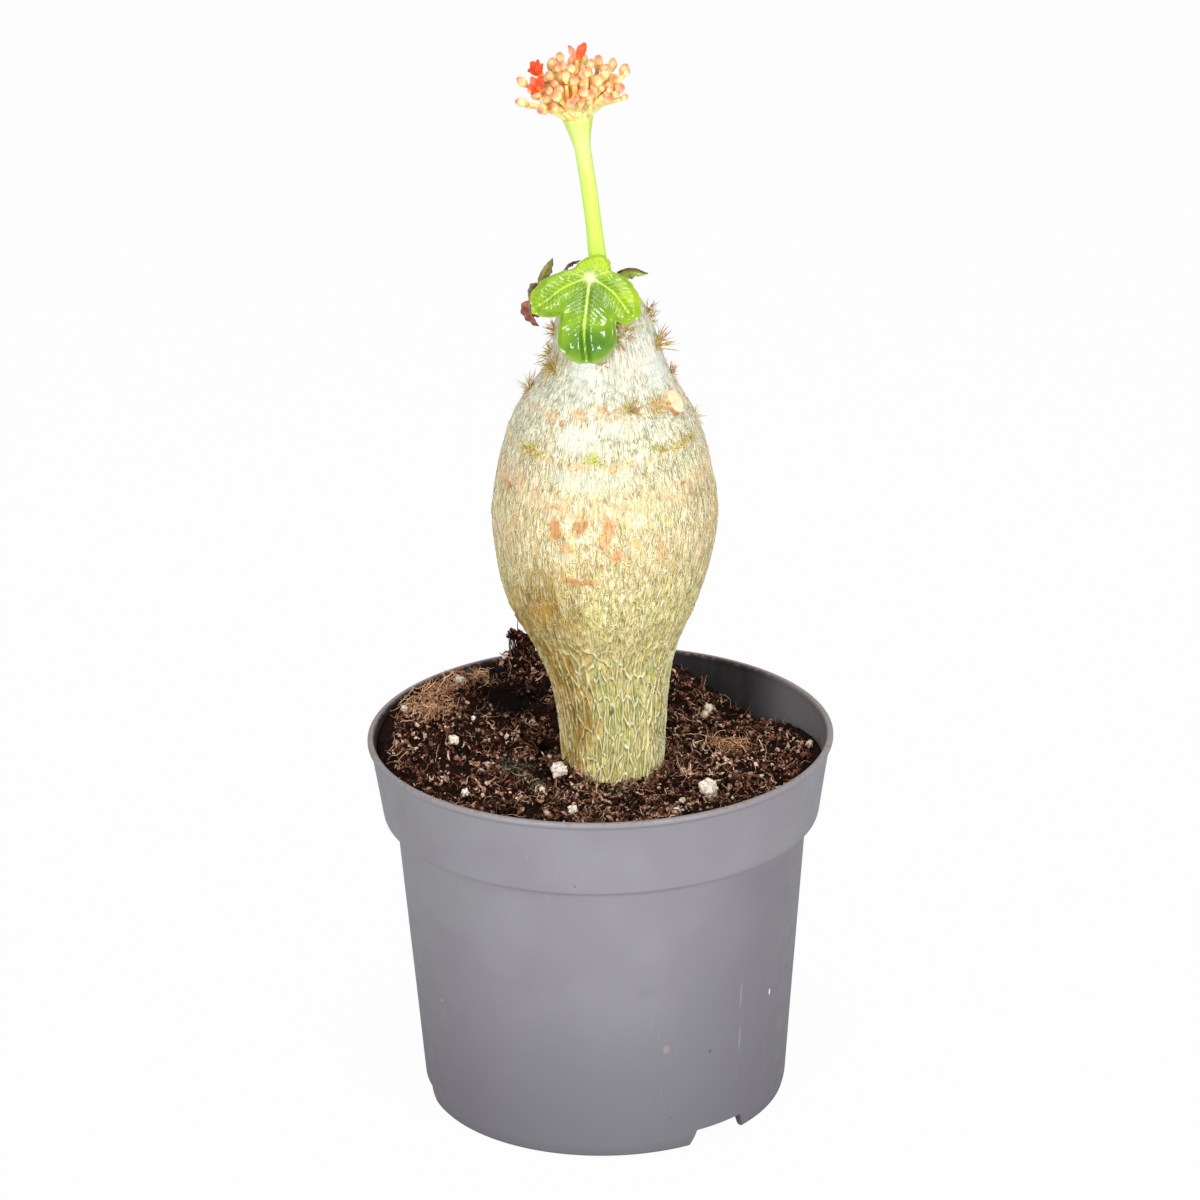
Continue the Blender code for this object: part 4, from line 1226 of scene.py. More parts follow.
# Clump that stands over the soil behind the stem, as knots of crumbs held by threads:
# across, height and reach in millimetres, crumbs
clumpSet = {
    "knots": (
        (-23.5, 108.3, 0.9, 18), (-22.4, 108.9, 1.1, 25), (-22, 107.7, 0.9, 15), (-20.9, 107.9, 0.9, 18),
        (-19.9, 107.8, 0.8, 17), (-18.8, 107.6, 1, 21), (-20.8, 106.5, 0.8, 12), (-19.4, 106, 0.8, 14),
        (-18.1, 105.7, 1.2, 25), (-20.9, 104.5, 0.9, 15), (-23.3, 102.5, 0.6, 10), (-20.4, 101.6, 1.6, 44),
        (-18, 102, 2, 56), (-22.2, 100.4, 1.8, 44), (-19.2, 100.2, 2, 50),
    ),
    "ground": (-0.0210, 0.0440, 0.0985),
    "threads": 5,
    "crumb": 0.00034,
    "thread": 0.00014,
    "hair": ((-0.0214, 0.0440, 0.1084), (-0.0215, 0.0440, 0.1108), (-0.0213, 0.0440, 0.1132)),
    "hairRadii": (0.00017, 0.00009),
    "seed": 31,
}


def buildClump():
    dice = np.random.default_rng(clumpSet["seed"])
    parts = []
    ground = np.array(clumpSet["ground"])
    for across, height, reach, count in clumpSet["knots"]:
        place, reach = np.array([across / mm, ground[1], height / mm]), reach / mm
        for number in range(count):
            centre = place + dice.normal(0, 0.52, 3) * reach
            grain = grainShape(centre, clumpSet["crumb"] * dice.uniform(0.6, 1.9), number, 1)
            parts.append((*grain, {"tint": dice.uniform(0, 0.75) ** 1.4, "hollow": 0.0}))
        for _ in range(clumpSet["threads"]):
            start = ground + [(place[0] - ground[0]) * dice.uniform(0.3, 0.9), dice.normal(0, 0.001), 0]
            end = place + dice.normal(0, 0.7, 3) * reach
            bend = (start + end) / 2 + dice.normal(0, 0.0007, 3)
            thread = tube(smoothLine([start, bend, end], 7), clumpSet["thread"] * dice.uniform(0.5, 1.2), 4)
            parts.append((*thread, {"tint": dice.uniform(0.1, 0.7), "hollow": 0.0}))
    hair = tube(smoothLine(clumpSet["hair"], 12), np.linspace(*clumpSet["hairRadii"], 12), 5)
    parts.append((*hair, {"tint": 0.0, "hollow": 0.0}))
    give(joined("peat_clump", parts, bpy.data.materials["peat crumbs"]), "soil_peat")


buildClump()


# Flower stalk and rays

stalkShape = {
    "foot": (0.0019, -0.0008, 0.2188),
    "bend": (-0.0004, -0.0004, 0.2420),
    "head": (-0.0032, 0.0, 0.2622),
    "lowRadius": 0.0025,
    "highRadius": 0.0020,
    "headRadius": 0.0037,
    "flareFrom": 0.80,
    "footFlare": 0.0010,
    "domeHeight": 0.0022,
    "rows": 60,
    "sides": 32,
    "ribs": 9,
}
headCentre = np.array(stalkShape["head"])


def stalkMaterial():
    made, _, place = freshMaterial("stalk", 0.36, 0.25)
    colour = rampOf(
        ranged(axisOf(place, 2), 0.212, 0.266, way="LINEAR"), (0.0, "aed442"), (0.25, "c6ec54"),
        (0.62, "ccee68"), (0.80, "d4ec88"), (0.94, "cee276"), (1.0, "ece28c"),
    )
    streak = noisy(place, 2100.0, 2.0, tall=0.07)
    colour = layered(colour, (ranged(streak, 0.5, 0.7), 0.35, "eefaa8"))
    return finished(made, colour, bump=(streak, 0.25, 0.0001))


def buildStalk():
    line = smoothLine([stalkShape[name] for name in ("foot", "bend", "head")], stalkShape["rows"])
    share = np.linspace(0, 1, stalkShape["rows"])
    low, high = stalkShape["lowRadius"], stalkShape["highRadius"]
    body = low + (high - low) * np.minimum(1, share * 3)
    foot = stalkShape["footFlare"] * (1 - smoothStep(share, 0.0, 0.10))
    flare = np.clip((share - stalkShape["flareFrom"]) / (1 - stalkShape["flareFrom"]), 0, 1) ** 1.3
    rings = tubeRings(line, body + foot + (stalkShape["headRadius"] - body) * flare, stalkShape["sides"])
    wave = np.cos(stalkShape["ribs"] * circle(stalkShape["sides"]))
    ribs = 1 + (0.012 + 0.05 * flare)[:, None] * wave[None]
    rings = line[:, None] + (rings - line[:, None]) * ribs[:, :, None]
    dome = [
        headCentre + (rings[-1] - headCentre) * math.cos(lift)
        + upward * stalkShape["domeHeight"] * math.sin(lift)
        for lift in np.radians((20, 40, 60, 78))
    ]
    points, faces = closedSkin(np.concatenate([rings, dome]))
    give(makeObject("flower_stem", points, faces, stalkMaterial()), "stalk_green", "flower_stalk")


buildStalk()


def refinedCopy(node, levels):
    work = bmesh.new()
    work.from_mesh(nodes[node].data)
    bmesh.ops.remove_doubles(work, verts=work.verts, dist=1e-6)
    bmesh.ops.dissolve_degenerate(work, edges=work.edges, dist=1e-6)
    mesh = bpy.data.meshes.new("refined")
    work.to_mesh(mesh)
    work.free()
    made = linked("refined", mesh)
    rounder = made.modifiers.new("rounder", "SUBSURF")
    rounder.levels = rounder.render_levels = levels
    plainMesh(made)
    points = pointsOf(made)
    faces = [list(face.vertices) for face in made.data.polygons]
    bpy.data.objects.remove(made)
    return points, faces


def rayMaterial():
    made, tree, place = freshMaterial("rays", 0.46, 0.45)
    away, bract = valuesOf(tree, "away", "bract")
    # the paler cream near the head's centre is partly painted light in the deep gaps between the buds
    colour = rampOf(
        away, (0.0, "e6f08c"), (0.22, "fceaa0"), (0.5, "ffde92"), (0.8, "ffd282"), (1.0, "ffdc98"),
    )
    colour = layered(colour, (patchy(place, 420.0, 0.48, 0.66, 2.0), 0.5, "f49654"))
    return finished(made, blend(bract, colour, "5c4422"))


rayShape = {
    "branchRadii": (0.00165, 0.00105),
    "budRadii": (0.00095, 0.00068),
    "bractHalf": 0.0007,
    "bractRadius": 0.00026,
}
# Thick branches that leave the stalk's crown: angle, radius and height of their ends in millimetres
crownBranches = np.array((
    (-92, 7.8, 265), (-64, 6.8, 265.1), (-32, 5.6, 265.5), (2, 5, 265.7), (34, 5, 266), (68, 5.4, 266.3),
    (100, 6, 266.4), (135, 5.6, 266.4), (170, 5.2, 266.2), (-160, 5.6, 266), (-126, 6.4, 265.5),
)) / (1, mm, mm)
# Dark bract tips: angle, radius and height in millimetres
bracts = np.array((
    (-4, 3.6, 264), (52, 4.2, 264.6), (-48, 4.4, 264.8), (96, 5.2, 265.2), (14, 6.2, 268.6),
    (84, 10, 268.8), (-76, 9, 266.8), (-20, 7, 268.2), (150, 4.6, 264.4), (-140, 5, 264.2),
)) / (1, mm, mm)
# Buds beyond the ones the frame carries: angle, radius round the head's centre and height in
# millimetres, size
extraBuds = np.array((
    (-75, 12.4, 266.4, 0.6), (-34, 10, 267.4, 0.8), (-8, 9.2, 268.8, 0.75), (20, 8.6, 269, 0.8),
    (48, 9.8, 269, 0.9), (66, 8.6, 271.2, 0.9), (-52, 9.4, 269, 0.95), (-30, 8.8, 271.6, 1),
    (-70, 7, 273.4, 0.95), (-5, 7, 273.6, 0.95), (24, 6.2, 275.2, 0.9), (-100, 10, 270.6, 0.9),
    (-125, 9.2, 270, 0.9), (-172, 9.6, 270.2, 0.9), (168, 6, 276.2, 0.85), (120, 10.2, 270.6, 0.9),
    (104, 7, 274, 0.9), (-60, 5, 275.6, 0.9), (5, 11, 269.2, 0.8), (78, 12.5, 274.2, 0.62),
    (72, 12.2, 268.4, 0.6), (-140, 10.4, 268.8, 0.8), (150, 11.2, 269.4, 0.8), (-110, 6.2, 274.6, 0.9),
    (60, 4, 276.4, 0.85), (-18, 4.6, 276, 0.9), (32, 11.6, 270, 0.7),
)) / (1, mm, mm, 1)
budShape = {
    "length": 0.0035,
    "radius": 0.00118,
    "outline": (
        (0.0, 0.34), (0.05, 0.50), (0.12, 0.52), (0.17, 0.66), (0.30, 0.90), (0.46, 1.0), (0.62, 0.97),
        (0.76, 0.82), (0.88, 0.56), (0.96, 0.26),
    ),
    "sides": 12,
    "lifts": {4: 0.0016},   # buds that stand a little above the frame's
    "fillers": 76,   # buds in the gaps between the others
    "spacing": 0.00172,
    "seed": 17,
}


def placeOfTip(angle, radius, height):
    return np.array([headCentre[0], headCentre[1], height]) + compass(angle) * radius


def budPlaces():
    places = [middleOf(node) for node in numbered("bud", 21) + numbered("flower", 3)]
    places += [placeOfTip(*bud[:3]) for bud in extraBuds]
    dice = np.random.default_rng(budShape["seed"])
    found = []
    for _ in range(4000):
        angle, radius = dice.uniform(-180, 180), 0.0118 * dice.random() ** 0.5
        lowest = 0.2684 if abs(angle) < 70 else 0.2666
        height = dice.uniform(lowest + 0.10 * radius, 0.2762 - 0.45 * radius)
        spot = placeOfTip(angle, radius, height)
        gap = min(np.linalg.norm(spot - other) for other in places)
        if gap > budShape["spacing"] and len(found) < budShape["fillers"]:
            places.append(spot)
            found.append((angle, radius, height, dice.uniform(0.55, 0.92)))
    return [*extraBuds, *found]


allExtraBuds = budPlaces()


def buildRays():
    parts = []

    def addRay(points, faces, reach=0.0135):
        away = smoothStep(np.linalg.norm(points - headCentre, axis=1), 0.003, reach)
        parts.append((points, faces, {"away": away, "bract": 0.0}))

    for node in numbered("ray", 8):
        addRay(*refinedCopy(node, 1))
    for angle, radius, height in crownBranches:
        start = headCentre + compass(angle) * 0.0010 - upward * 0.0016
        path = curvedPath(start, unit(compass(angle) * 0.5 + upward), placeOfTip(angle, radius, height), 10)
        addRay(*tube(path, np.linspace(*rayShape["branchRadii"], 10), 12), 0.0115)
    for angle, radius, height in bracts:
        way = unit(compass(angle + 30) + upward * 0.5)
        half = rayShape["bractHalf"]
        path = placeOfTip(angle, radius, height) + np.outer(np.linspace(-half, half, 6), way)
        tip = tube(path, np.array([0.5, 1, 1, 0.8, 0.5, 0.15]) * rayShape["bractRadius"], 6)
        parts.append((*tip, {"away": 0.0, "bract": 1.0}))
    for angle, radius, height, size in allExtraBuds:
        tip = placeOfTip(angle, radius, height)
        out = unit(compass(angle) * 0.8 + upward * 0.6)
        foot = tip - unit(tip - headCentre) * budShape["length"] * size * 0.5
        path = curvedPath(headCentre + out * 0.0022, out, foot, 8)
        addRay(*tube(path, np.linspace(*rayShape["budRadii"], 8) * (0.6 + 0.4 * size), 8))
    give(joined("flower_rays", parts, rayMaterial()), "ray_orange", *numbered("ray", 8))


def budMaterial():
    made, tree, place = freshMaterial("buds", 0.46, 0.4)
    along, tint = valuesOf(tree, "along", "tint")
    colour = rampOf(
        along, (0.0, "fcd07e"), (0.25, "fee096"), (0.55, "ffe6ac"), (0.74, "fcc894"), (0.90, "ee9270"),
        (1.0, "be685a"),
    )
    flush = times(patchy(place, 520.0, 0.46, 0.62, 2.0), ranged(tint, 0.2, 0.9, 0.2, 1.0))
    return finished(made, layered(colour, (flush, 0.62, "faa06a")))


def budPoints(centre, axis, length, radius, seed):
    share, size = np.array(budShape["outline"]).T
    path = centre + np.outer((share - 0.5) * length, axis)
    rings = tubeRings(path, radius * size, budShape["sides"])
    ribs = np.cos(5 * circle(budShape["sides"]) + seed)
    seam = 1 + 0.045 * ribs[None] * smoothStep(share, 0.2, 0.8)[:, None]
    rings = path[:, None] + (rings - path[:, None]) * seam[:, :, None]
    points, faces = closedSkin(rings, highPole=centre + axis * length * 0.5)
    return points, faces, np.append(np.repeat(share, budShape["sides"]), [0, 1])


def buildBuds():
    parts = []
    dice = np.random.default_rng(12)

    def addBud(*shape):
        points, faces, along = budPoints(*shape)
        parts.append((points, faces, {"along": along, "tint": dice.random()}))

    for number, node in enumerate(numbered("bud", 21), 1):
        centre, axis, low, high = longAxis(node, headCentre)
        centre = centre + upward * budShape["lifts"].get(number, 0.0) + axis * (low + high) / 2
        addBud(centre, axis, (high - low) * 1.02, budShape["radius"] * dice.uniform(0.92, 1.12), number)
    for number, (angle, radius, height, size) in enumerate(allExtraBuds):
        tip = placeOfTip(angle, radius, height)
        axis = unit(tip - headCentre + dice.normal(0, 0.0012, 3))
        girth = budShape["radius"] * size * dice.uniform(0.95, 1.1)
        addBud(tip, axis, budShape["length"] * size, girth, number)
    give(joined("flower_buds", parts, budMaterial()), "bud_cream", *numbered("bud", 21))


# Open flowers: how far each stands from the frame's flower, how far it faces the front, and its petals as
# (turn from the left, opening, length and half width in millimetres, paleness, twist)
flowerShapes = {
    "flower_1": ((0.0009, 0, 0.0004), 0.35, (
        (10, 40, 3.4, 1.4, 0.1, 20), (75, 34, 3.4, 1.4, 0.0, 0), (150, 34, 3.6, 1.4, 0.05, 20),
        (215, 26, 3.7, 1.3, 0.2, 0), (290, 30, 3.7, 1.4, 0.1, 0), (100, 16, 3.4, 1.1, 0.3, 0),
    )),
    "flower_2": ((0.0005, 0, 0.0007), 0.70, (
        (-24, 56, 3.2, 1.0, 0.1, 0), (50, 50, 3.6, 1.1, 0.0, 0), (118, 46, 3.6, 1.1, 0.05, 0),
        (196, 42, 4.0, 1.1, 0.2, 0), (275, 50, 3.4, 1.1, 0.35, 0),
    )),
    "flower_3": ((0, 0, -0.0020), 0.0, (
        (-4, 30, 4.0, 0.85, 0.95, 80), (176, 30, 4.6, 1.25, 0.0, 76), (158, 40, 4.2, 1.0, 0.15, 50),
    )),
}


def petalMaterial():
    made, tree, place = freshMaterial("petals", 0.40, 0.2)
    along, tint = valuesOf(tree, "along", "tint")
    colour = blend(ranged(along, -0.15, 0.30), "fcaa54", blend(tint, "f85c28", "f49276"))
    blush = ranged(plus(along, times(noisy(place, 520.0, 2.0), 0.5)), 0.95, 1.30)
    return finished(made, layered(
        colour, (patchy(place, 1100.0, 0.52, 0.66, 2.0), 0.4, "d62c1e"), (blush, 0.6, "c43a3c"),
    ))


# A thin blade from its front's rows of points to a back that lies a little behind
def bladeSkin(front, depth):
    return closedSkin(np.concatenate([front, (front + depth)[:, ::-1]], axis=1))


def petalPoints(foot, axis, side, length, halfWidth, opening, twist):
    rows, columns = 10, 9
    lean, turned = math.radians(opening), math.radians(twist)
    t = np.linspace(0, 1, rows)
    bend = lean * (0.35 + 0.75 * t)
    out, rise = (np.cumsum(wave(bend)) * length / (rows - 1) for wave in (np.sin, np.cos))
    width = halfWidth * (0.34 + 0.66 * np.sin(np.clip(t * 1.15 + 0.1, 0, 1) * math.pi * 0.62))
    width *= 1 - 0.72 * smoothStep(t, 0.62, 1.05)
    s = np.linspace(-1, 1, columns)
    cup = 0.35 * halfWidth * (s ** 2)[None] * (1 - 0.3 * t)[:, None]
    middle = foot + np.outer(out + 0.00035, side) + np.outer(rise, axis)
    flat, normal = np.cross(axis, side), unit(axis * -math.sin(lean) + side * math.cos(lean))
    across = flat * math.cos(turned) + normal * math.sin(turned)
    normal = normal * math.cos(turned) - flat * math.sin(turned)
    front = middle[:, None] + across * (width[:, None] * s[None])[:, :, None] - normal * cup[:, :, None]
    points, faces = bladeSkin(front, normal * 0.00014)
    return points, faces, np.append(np.repeat(t, columns * 2), [0, 1])


def buildFlowers():
    parts = []
    for node, (shift, facing, petals) in flowerShapes.items():
        centre = middleOf(node)
        outward = unit(centre - headCentre)
        axis = unit(outward + np.array([0, -0.15 - facing, 0.55]))
        foot = centre - outward * 0.0021 + np.array(shift)
        side = unit(np.cross(axis, [0, 1.0, 0]))
        other = np.cross(axis, side)
        cup = foot + np.outer(np.linspace(0, 0.0016, 6), axis)
        cup = tube(cup, np.array([0.5, 0.75, 0.85, 0.85, 0.8, 0.7]) * 0.001, 10)
        parts.append((*cup, {"along": 0.0, "tint": 0.2}))
        for turn, opening, length, halfWidth, paleness, twist in petals:
            way = side * math.cos(math.radians(turn)) + other * math.sin(math.radians(turn))
            petal, faces, along = petalPoints(
                foot + axis * 0.0008, axis, way, length / mm, halfWidth / mm, opening, twist
            )
            parts.append((petal, faces, {"along": along, "tint": paleness}))
    give(joined("open_flowers", parts, petalMaterial()), "petal_red", *numbered("flower", 3))


buildRays()
buildBuds()
buildFlowers()


# Main leaf

leafShape = {
    "hub": (-0.0007, -0.0105, 0.2245),
    "tilt": 21,
    "curl": 4.0,
    "thickness": 0.00055,
    "columns": 300,
    "rows": 58,
    "pucker": 0.00038,
    "puckerSpacing": 0.00118,
    "veinRise": 0.00028,
    "dome": 0.0011,
    "slope": 0.17,
    "crease": 0.0009,   # how deep the main vein lies near the tip
    "edgeDrop": 0.0009,
    "unevenness": 0.00035,
}
# Outline round the hub: angle from straight down, reach in millimetres
leafOutline = (
    (-180, 5.2), (-140, 4.6), (-114, 5.2), (-96, 9), (-84, 13), (-70, 16), (-58, 16.5), (-48, 14.6),
    (-38, 12.5), (-32, 15.4), (-26, 18.6), (-19, 20.3), (-12, 21.1), (-7, 21.4), (-3.4, 21), (1, 21.2),
    (7, 20.8), (15, 19.1), (22, 16.8), (28, 13), (36, 14.6), (50, 15.7), (66, 13.4), (86, 9.2), (104, 5.8),
    (128, 6.3), (152, 6.4), (180, 5.2),
)
# Veins as lines of (across, down) in the blade's own plane in millimetres, with how strong each is
leafVeins = (
    (((0, 0), (-0.7, 4.5), (-1.2, 8.6), (-1.7, 12.6), (-1.6, 16.6), (-1.2, 20.5)), 1),
    (((0, 0), (-3.6, 1.1), (-7.4, 2.9), (-10.3, 5.1), (-13.5, 7.2)), 0.65),
    (((0, 0), (3.1, 1.9), (5.8, 4), (7.9, 6.7), (9.5, 9.1)), 0.65),
    (((0, 0), (2.4, -0.6), (4.4, -1.2), (6.2, -1.2)), 0.5),
    (((0, 0), (1, -1.6), (2, -3.6)), 0.4),
    (((0, 0), (-1.6, -1.2), (-3.1, -2.1)), 0.4),
    (((0, 0), (-2.2, -0.3), (-4.1, -0.9), (-6.2, -0.6)), 0.45),
)


def leafPlane(spots):
    tilt = math.radians(leafShape["tilt"])
    face = np.array([0, -math.cos(tilt), math.sin(tilt)])
    up = np.array([0, math.sin(tilt), math.cos(tilt)])
    reach = np.hypot(spots[:, 0], spots[:, 1])
    middle = np.array(leafShape["hub"]) + np.outer(spots[:, 0], [1, 0, 0]) - np.outer(spots[:, 1], up)
    return middle - np.outer(leafShape["curl"] * reach ** 2, face), face


def nearVein(spots, vein):
    line = smoothLine(np.array(vein) / mm, 60)
    gaps = spots[:, None] - line[None]
    distance = np.linalg.norm(gaps, axis=2)
    nearest = distance.argmin(1)
    lengths = np.append(0, np.cumsum(np.linalg.norm(np.diff(line, axis=0), axis=1)))
    way = np.gradient(line, axis=0)[nearest]
    gap = gaps[np.arange(len(spots)), nearest]
    side = np.sign(way[:, 0] * gap[:, 1] - way[:, 1] * gap[:, 0])
    return distance.min(1), lengths[nearest], lengths[-1], side


def leafFields(spots):
    best = np.full(len(spots), 9.0)
    run, ending, side, veins = (np.zeros(len(spots)) for _ in range(4))
    main = []
    for line, power in leafVeins:
        distance, along, length, hand = nearVein(spots, line)
        if power > 0.6:
            main.append(distance)
        width = (0.00036 - 0.00022 * along / length) * (0.50 + 0.50 * power)
        veins = np.maximum(veins, power ** 0.3 * np.exp(-(distance / width) ** 2))
        weight = distance / (0.6 + 0.4 * power)
        closer = weight < best
        best, run, side, ending = (
            np.where(closer, new, old)
            for new, old in ((weight, best), (along, run), (hand, side), (along / length, ending))
        )
    phase = (run - 0.62 * best) / leafShape["puckerSpacing"] + 0.25 * side
    ripple = np.abs(np.sin(math.pi * phase)) ** 0.7
    fade = smoothStep(best, 0.0002, 0.0007) * (1 - smoothStep(best, 0.0030, 0.0060))
    # pale lateral veins near the main veins, partly painted glints where the puckers would shine
    lateral = (1 - ripple) ** 2.6 * smoothStep(best, 0.0, 0.0005) * (1 - smoothStep(best, 0.0018, 0.0040))
    lateral *= (1 - smoothStep(ending, 0.90, 1.0)) * (1 - 0.7 * smoothStep(spots[:, 1], 0.0115, 0.0150))
    main.append(np.hypot(*spots.T) + 0.0012)
    roof = -0.0007 * np.log(sum(np.exp(-distance / 0.0007) for distance in main))
    return veins, ripple * fade, lateral, best, np.maximum(roof, 0)


def leafMaterial():
    made, tree, place = newMaterial("leaf", 0.36, 0.15, {
        "Coat Weight": 1.0, "Coat Roughness": 0.05, "Coat IOR": 1.55,
    })
    green = blend(patchy(place, 190.0, 0.36, 0.66, 2.0), "749c00", "94b800")
    # the lateral lines are pale veins and partly painted highlights
    for name, strength, shade in (
        ("pale", None, "bad416"), ("deep", None, "3e7000"), ("lateral", 0.66, "d8ee8a"),
        ("vein", 0.9, "cee670"), ("hub", None, "f0f8ba"), ("edge", 0.7, "96a854"), ("back", 0.8, "9ec05c"),
    ):
        mask, = valuesOf(tree, name)
        green = blend(times(mask, strength) if strength else mask, green, shade)
    return finished(made, green, bump=(noisy(place, 1700.0, 2.0), 0.10, 0.0001))


def buildLeaf():
    columns, rows = leafShape["columns"], leafShape["rows"]
    angles = np.linspace(-180, 180, columns, endpoint=False)
    knots, reach = np.array(leafOutline).T
    reach = smoothCurve(knots, reach / mm, angles)
    wavy = 0.012 * np.sin(np.radians(angles * 23)) + 0.008 * np.sin(np.radians(angles * 41 + 30))
    reach *= 1 + wavy * (1 - 0.75 * np.exp(-((angles + 4) / 34) ** 2))
    shares = np.linspace(0.02, 1, rows) ** 0.8
    turn = np.radians(angles)
    flat = np.stack([np.sin(turn) * reach, np.cos(turn) * reach], -1)
    spots = (shares[:, None, None] * flat[None]).reshape(-1, 2)
    veins, ripple, lateral, best, roof = leafFields(spots)
    share = np.repeat(shares, columns)
    right, down = spots.T
    base, face = leafPlane(spots)
    relief = leafShape["pucker"] * ripple * (1 - smoothStep(share, 0.80, 0.97) * 0.7)
    relief *= 1 - 0.6 * smoothStep(down, 0.012, 0.016)
    relief += leafShape["veinRise"] * veins * (1 - smoothStep(down, 0.011, 0.016))
    relief -= leafShape["crease"] * np.exp(-(best / 0.0011) ** 2) * smoothStep(down, 0.0125, 0.018)
    relief += leafShape["dome"] * smoothStep(roof, 0.0, 0.0017)
    calm = smoothStep(down, 0.0085, 0.0130)   # the end of the blade lies flatter and shines less
    fall = np.maximum(roof - 0.0013, 0) ** 1.15 * 0.0013 ** -0.15
    relief -= leafShape["slope"] * (1 - 0.75 * calm) * fall
    relief -= leafShape["edgeDrop"] * smoothStep(share, 0.84, 1.0)
    relief += leafShape["unevenness"] * noiseAt(base, 260.0)
    thin = leafShape["thickness"] * (1 - 0.5 * smoothStep(share, 0.9, 1.0))
    front, back = (
        (base + np.outer(height, face)).reshape(rows, columns, 3) for height in (relief, relief - thin)
    )
    hub = np.array(leafShape["hub"]) + face * leafShape["veinRise"]
    rings = np.concatenate([back, front[::-1]])
    points, faces = closedSkin(rings, hub - face * leafShape["thickness"], hub)
    leaf = makeObject("shield_leaf", points, faces, leafMaterial())
    shade = np.exp(-((right + 0.0002) / 0.0042) ** 2 - ((down - 0.0046) / 0.0040) ** 2)
    shade += 1.2 * np.exp(-(right / 0.0085) ** 2 - ((down - 0.0165) / 0.0048) ** 2)
    paleness = smoothStep(-down, -0.002, 0.004) * 0.6 + smoothStep(right, 0.004, 0.010) * 0.25
    fields = {
        "vein": veins, "hub": np.exp(-(np.hypot(*spots.T) / 0.0014) ** 2), "lateral": lateral,
        "deep": np.clip(0.85 * shade, 0, 1) * (1 - veins), "edge": smoothStep(share, 0.955, 1.0),
        "pale": np.clip(paleness, 0, 1),
    }
    for name, values in fields.items():
        grid = values.reshape(rows, columns)
        both = np.append(np.concatenate([grid, grid[::-1]]).ravel(), [values[0], values[0]])
        addAttributes(leaf, **{name: both})
    addAttributes(leaf, back=np.append(np.repeat([1.0, 0.0], rows * columns), [1, 0]))
    give(leaf, "leaf_green", "main_leaf")


def buildPetiole():
    petiole = makeObject("leaf_stalk", *refinedCopy("main_petiole", 2), bpy.data.materials["stalk"])
    give(petiole, "stalk_green", "main_petiole")


buildLeaf()
buildPetiole()


youngShape = {
    "rows": 36,
    "columns": 13,
    "thickness": 0.00026,
    "frill": 0.00012,
    "stalkRadii": (0.0008, 0.0005),
}
# Young leaves: angle and height of the stalk's foot, then blades as a line in millimetres, and
# (half width, fold, across, greenness, redness)
youngLeaves = {
    "young_leaf_left": (
        (-80, 0.2136),
        (((-13.6, -1.4, 220.2), (-12.4, -1.6, 222.4), (-11.2, -2, 224.7), (-9.9, -2.2, 227)),
         (1.3, 0.9, (0.85, -0.5, -0.3), 0.42, 0)),
        (((-13.6, -1.8, 220.3), (-14.7, -2.4, 219.2), (-15.3, -2.8, 217.4), (-15.7, -3, 215.4)),
         (0.9, 1.1, (0.7, -0.6, 0.4), 0.12, 0)),
        (((-15.8, -3, 216.4), (-15.9, -3.4, 214.2), (-15.1, -3.6, 211.9), (-13.8, -3.6, 209.7)),
         (1.6, 0.9, (0.75, -0.6, 0.3), 0, 0.22)),
        (((-16.6, -2.4, 213.8), (-15, -2.4, 213), (-13.4, -2.4, 213), (-11.6, -2.4, 213.6)),
         (1, 0.7, (0.1, -0.5, 0.9), 0.1, 0.9)),
    ),
    "young_leaf_right": (
        (58, 0.2166),
        (((5.8, -2.8, 222.4), (8, -3.2, 223.2), (10.5, -3.7, 223.6), (13.3, -4.2, 223)),
         (1.4, 0.8, (0.1, -0.45, 0.9), 1, 0)),
        (((6, -2.4, 223), (8.2, -2.7, 224), (10.6, -3.2, 224.1), (13.6, -4, 223)),
         (0.6, 0.6, (0.1, -0.75, 0.6), 0.35, 0)),
    ),
    "young_leaf_back": (
        (-128, 0.2168),
        (((-6.8, 4, 222.2), (-6.1, 4.1, 223.2), (-5, 4.1, 223.8), (-3.2, 4, 224.2)),
         (0.7, 0.8, (0.4, -0.5, 0.75), 0.1, 0)),
    ),
}


def youngMaterial():
    made, tree, place = newMaterial("young leaf", 0.42, 0.5)
    side, green, red = valuesOf(tree, "side", "green", "red")
    wine = blend(patchy(place, 520.0, 0.42, 0.60, 2.0), "4a262c", "965c48")
    olive = blend(patchy(place, 420.0, 0.4, 0.62, 2.0), "96a63e", "bace58")
    colour = blend(red, blend(green, wine, olive), "ce703e")
    colour = layered(
        colour, (ranged(side, 0.86, 1.0), 0.8, "683a3a"), (ranged(side, 0.10, 0.0), 0.6, "c4a878"),
    )
    return finished(made, colour, bump=(noisy(place, 1500.0, tall=0.5), 0.4, 0.0002))


def bladePoints(line, halfWidth, fold, across, seed):
    rows, columns = youngShape["rows"], youngShape["columns"]
    path = smoothLine(line, rows)
    share = np.linspace(0, 1, rows)
    width = halfWidth * (0.04 + np.sin(math.pi * share ** 0.62) ** 0.8)
    width *= 1 + 0.10 * np.sin(26 * share + seed)
    along = np.gradient(path, axis=0)
    along /= np.linalg.norm(along, axis=1)[:, None]
    wide = np.array(across) - along * (along @ np.array(across))[:, None]
    wide /= np.linalg.norm(wide, axis=1)[:, None]
    deep = np.cross(along, wide)
    s = np.linspace(-1, 1, columns)
    frill = youngShape["frill"] * np.cos(math.pi * 7 * share)[:, None] * (np.abs(s) > 0.6)
    lift = fold * np.abs(s)[None] * width[:, None] + frill
    across = wide[:, None] * (width[:, None] * s[None])[:, :, None]
    front = path[:, None] + across + deep[:, None] * lift[:, :, None]
    side = np.append(np.tile(np.abs(np.append(s, s[::-1])), rows), [0, 0])
    return *bladeSkin(front, deep[:, None] * -youngShape["thickness"]), side


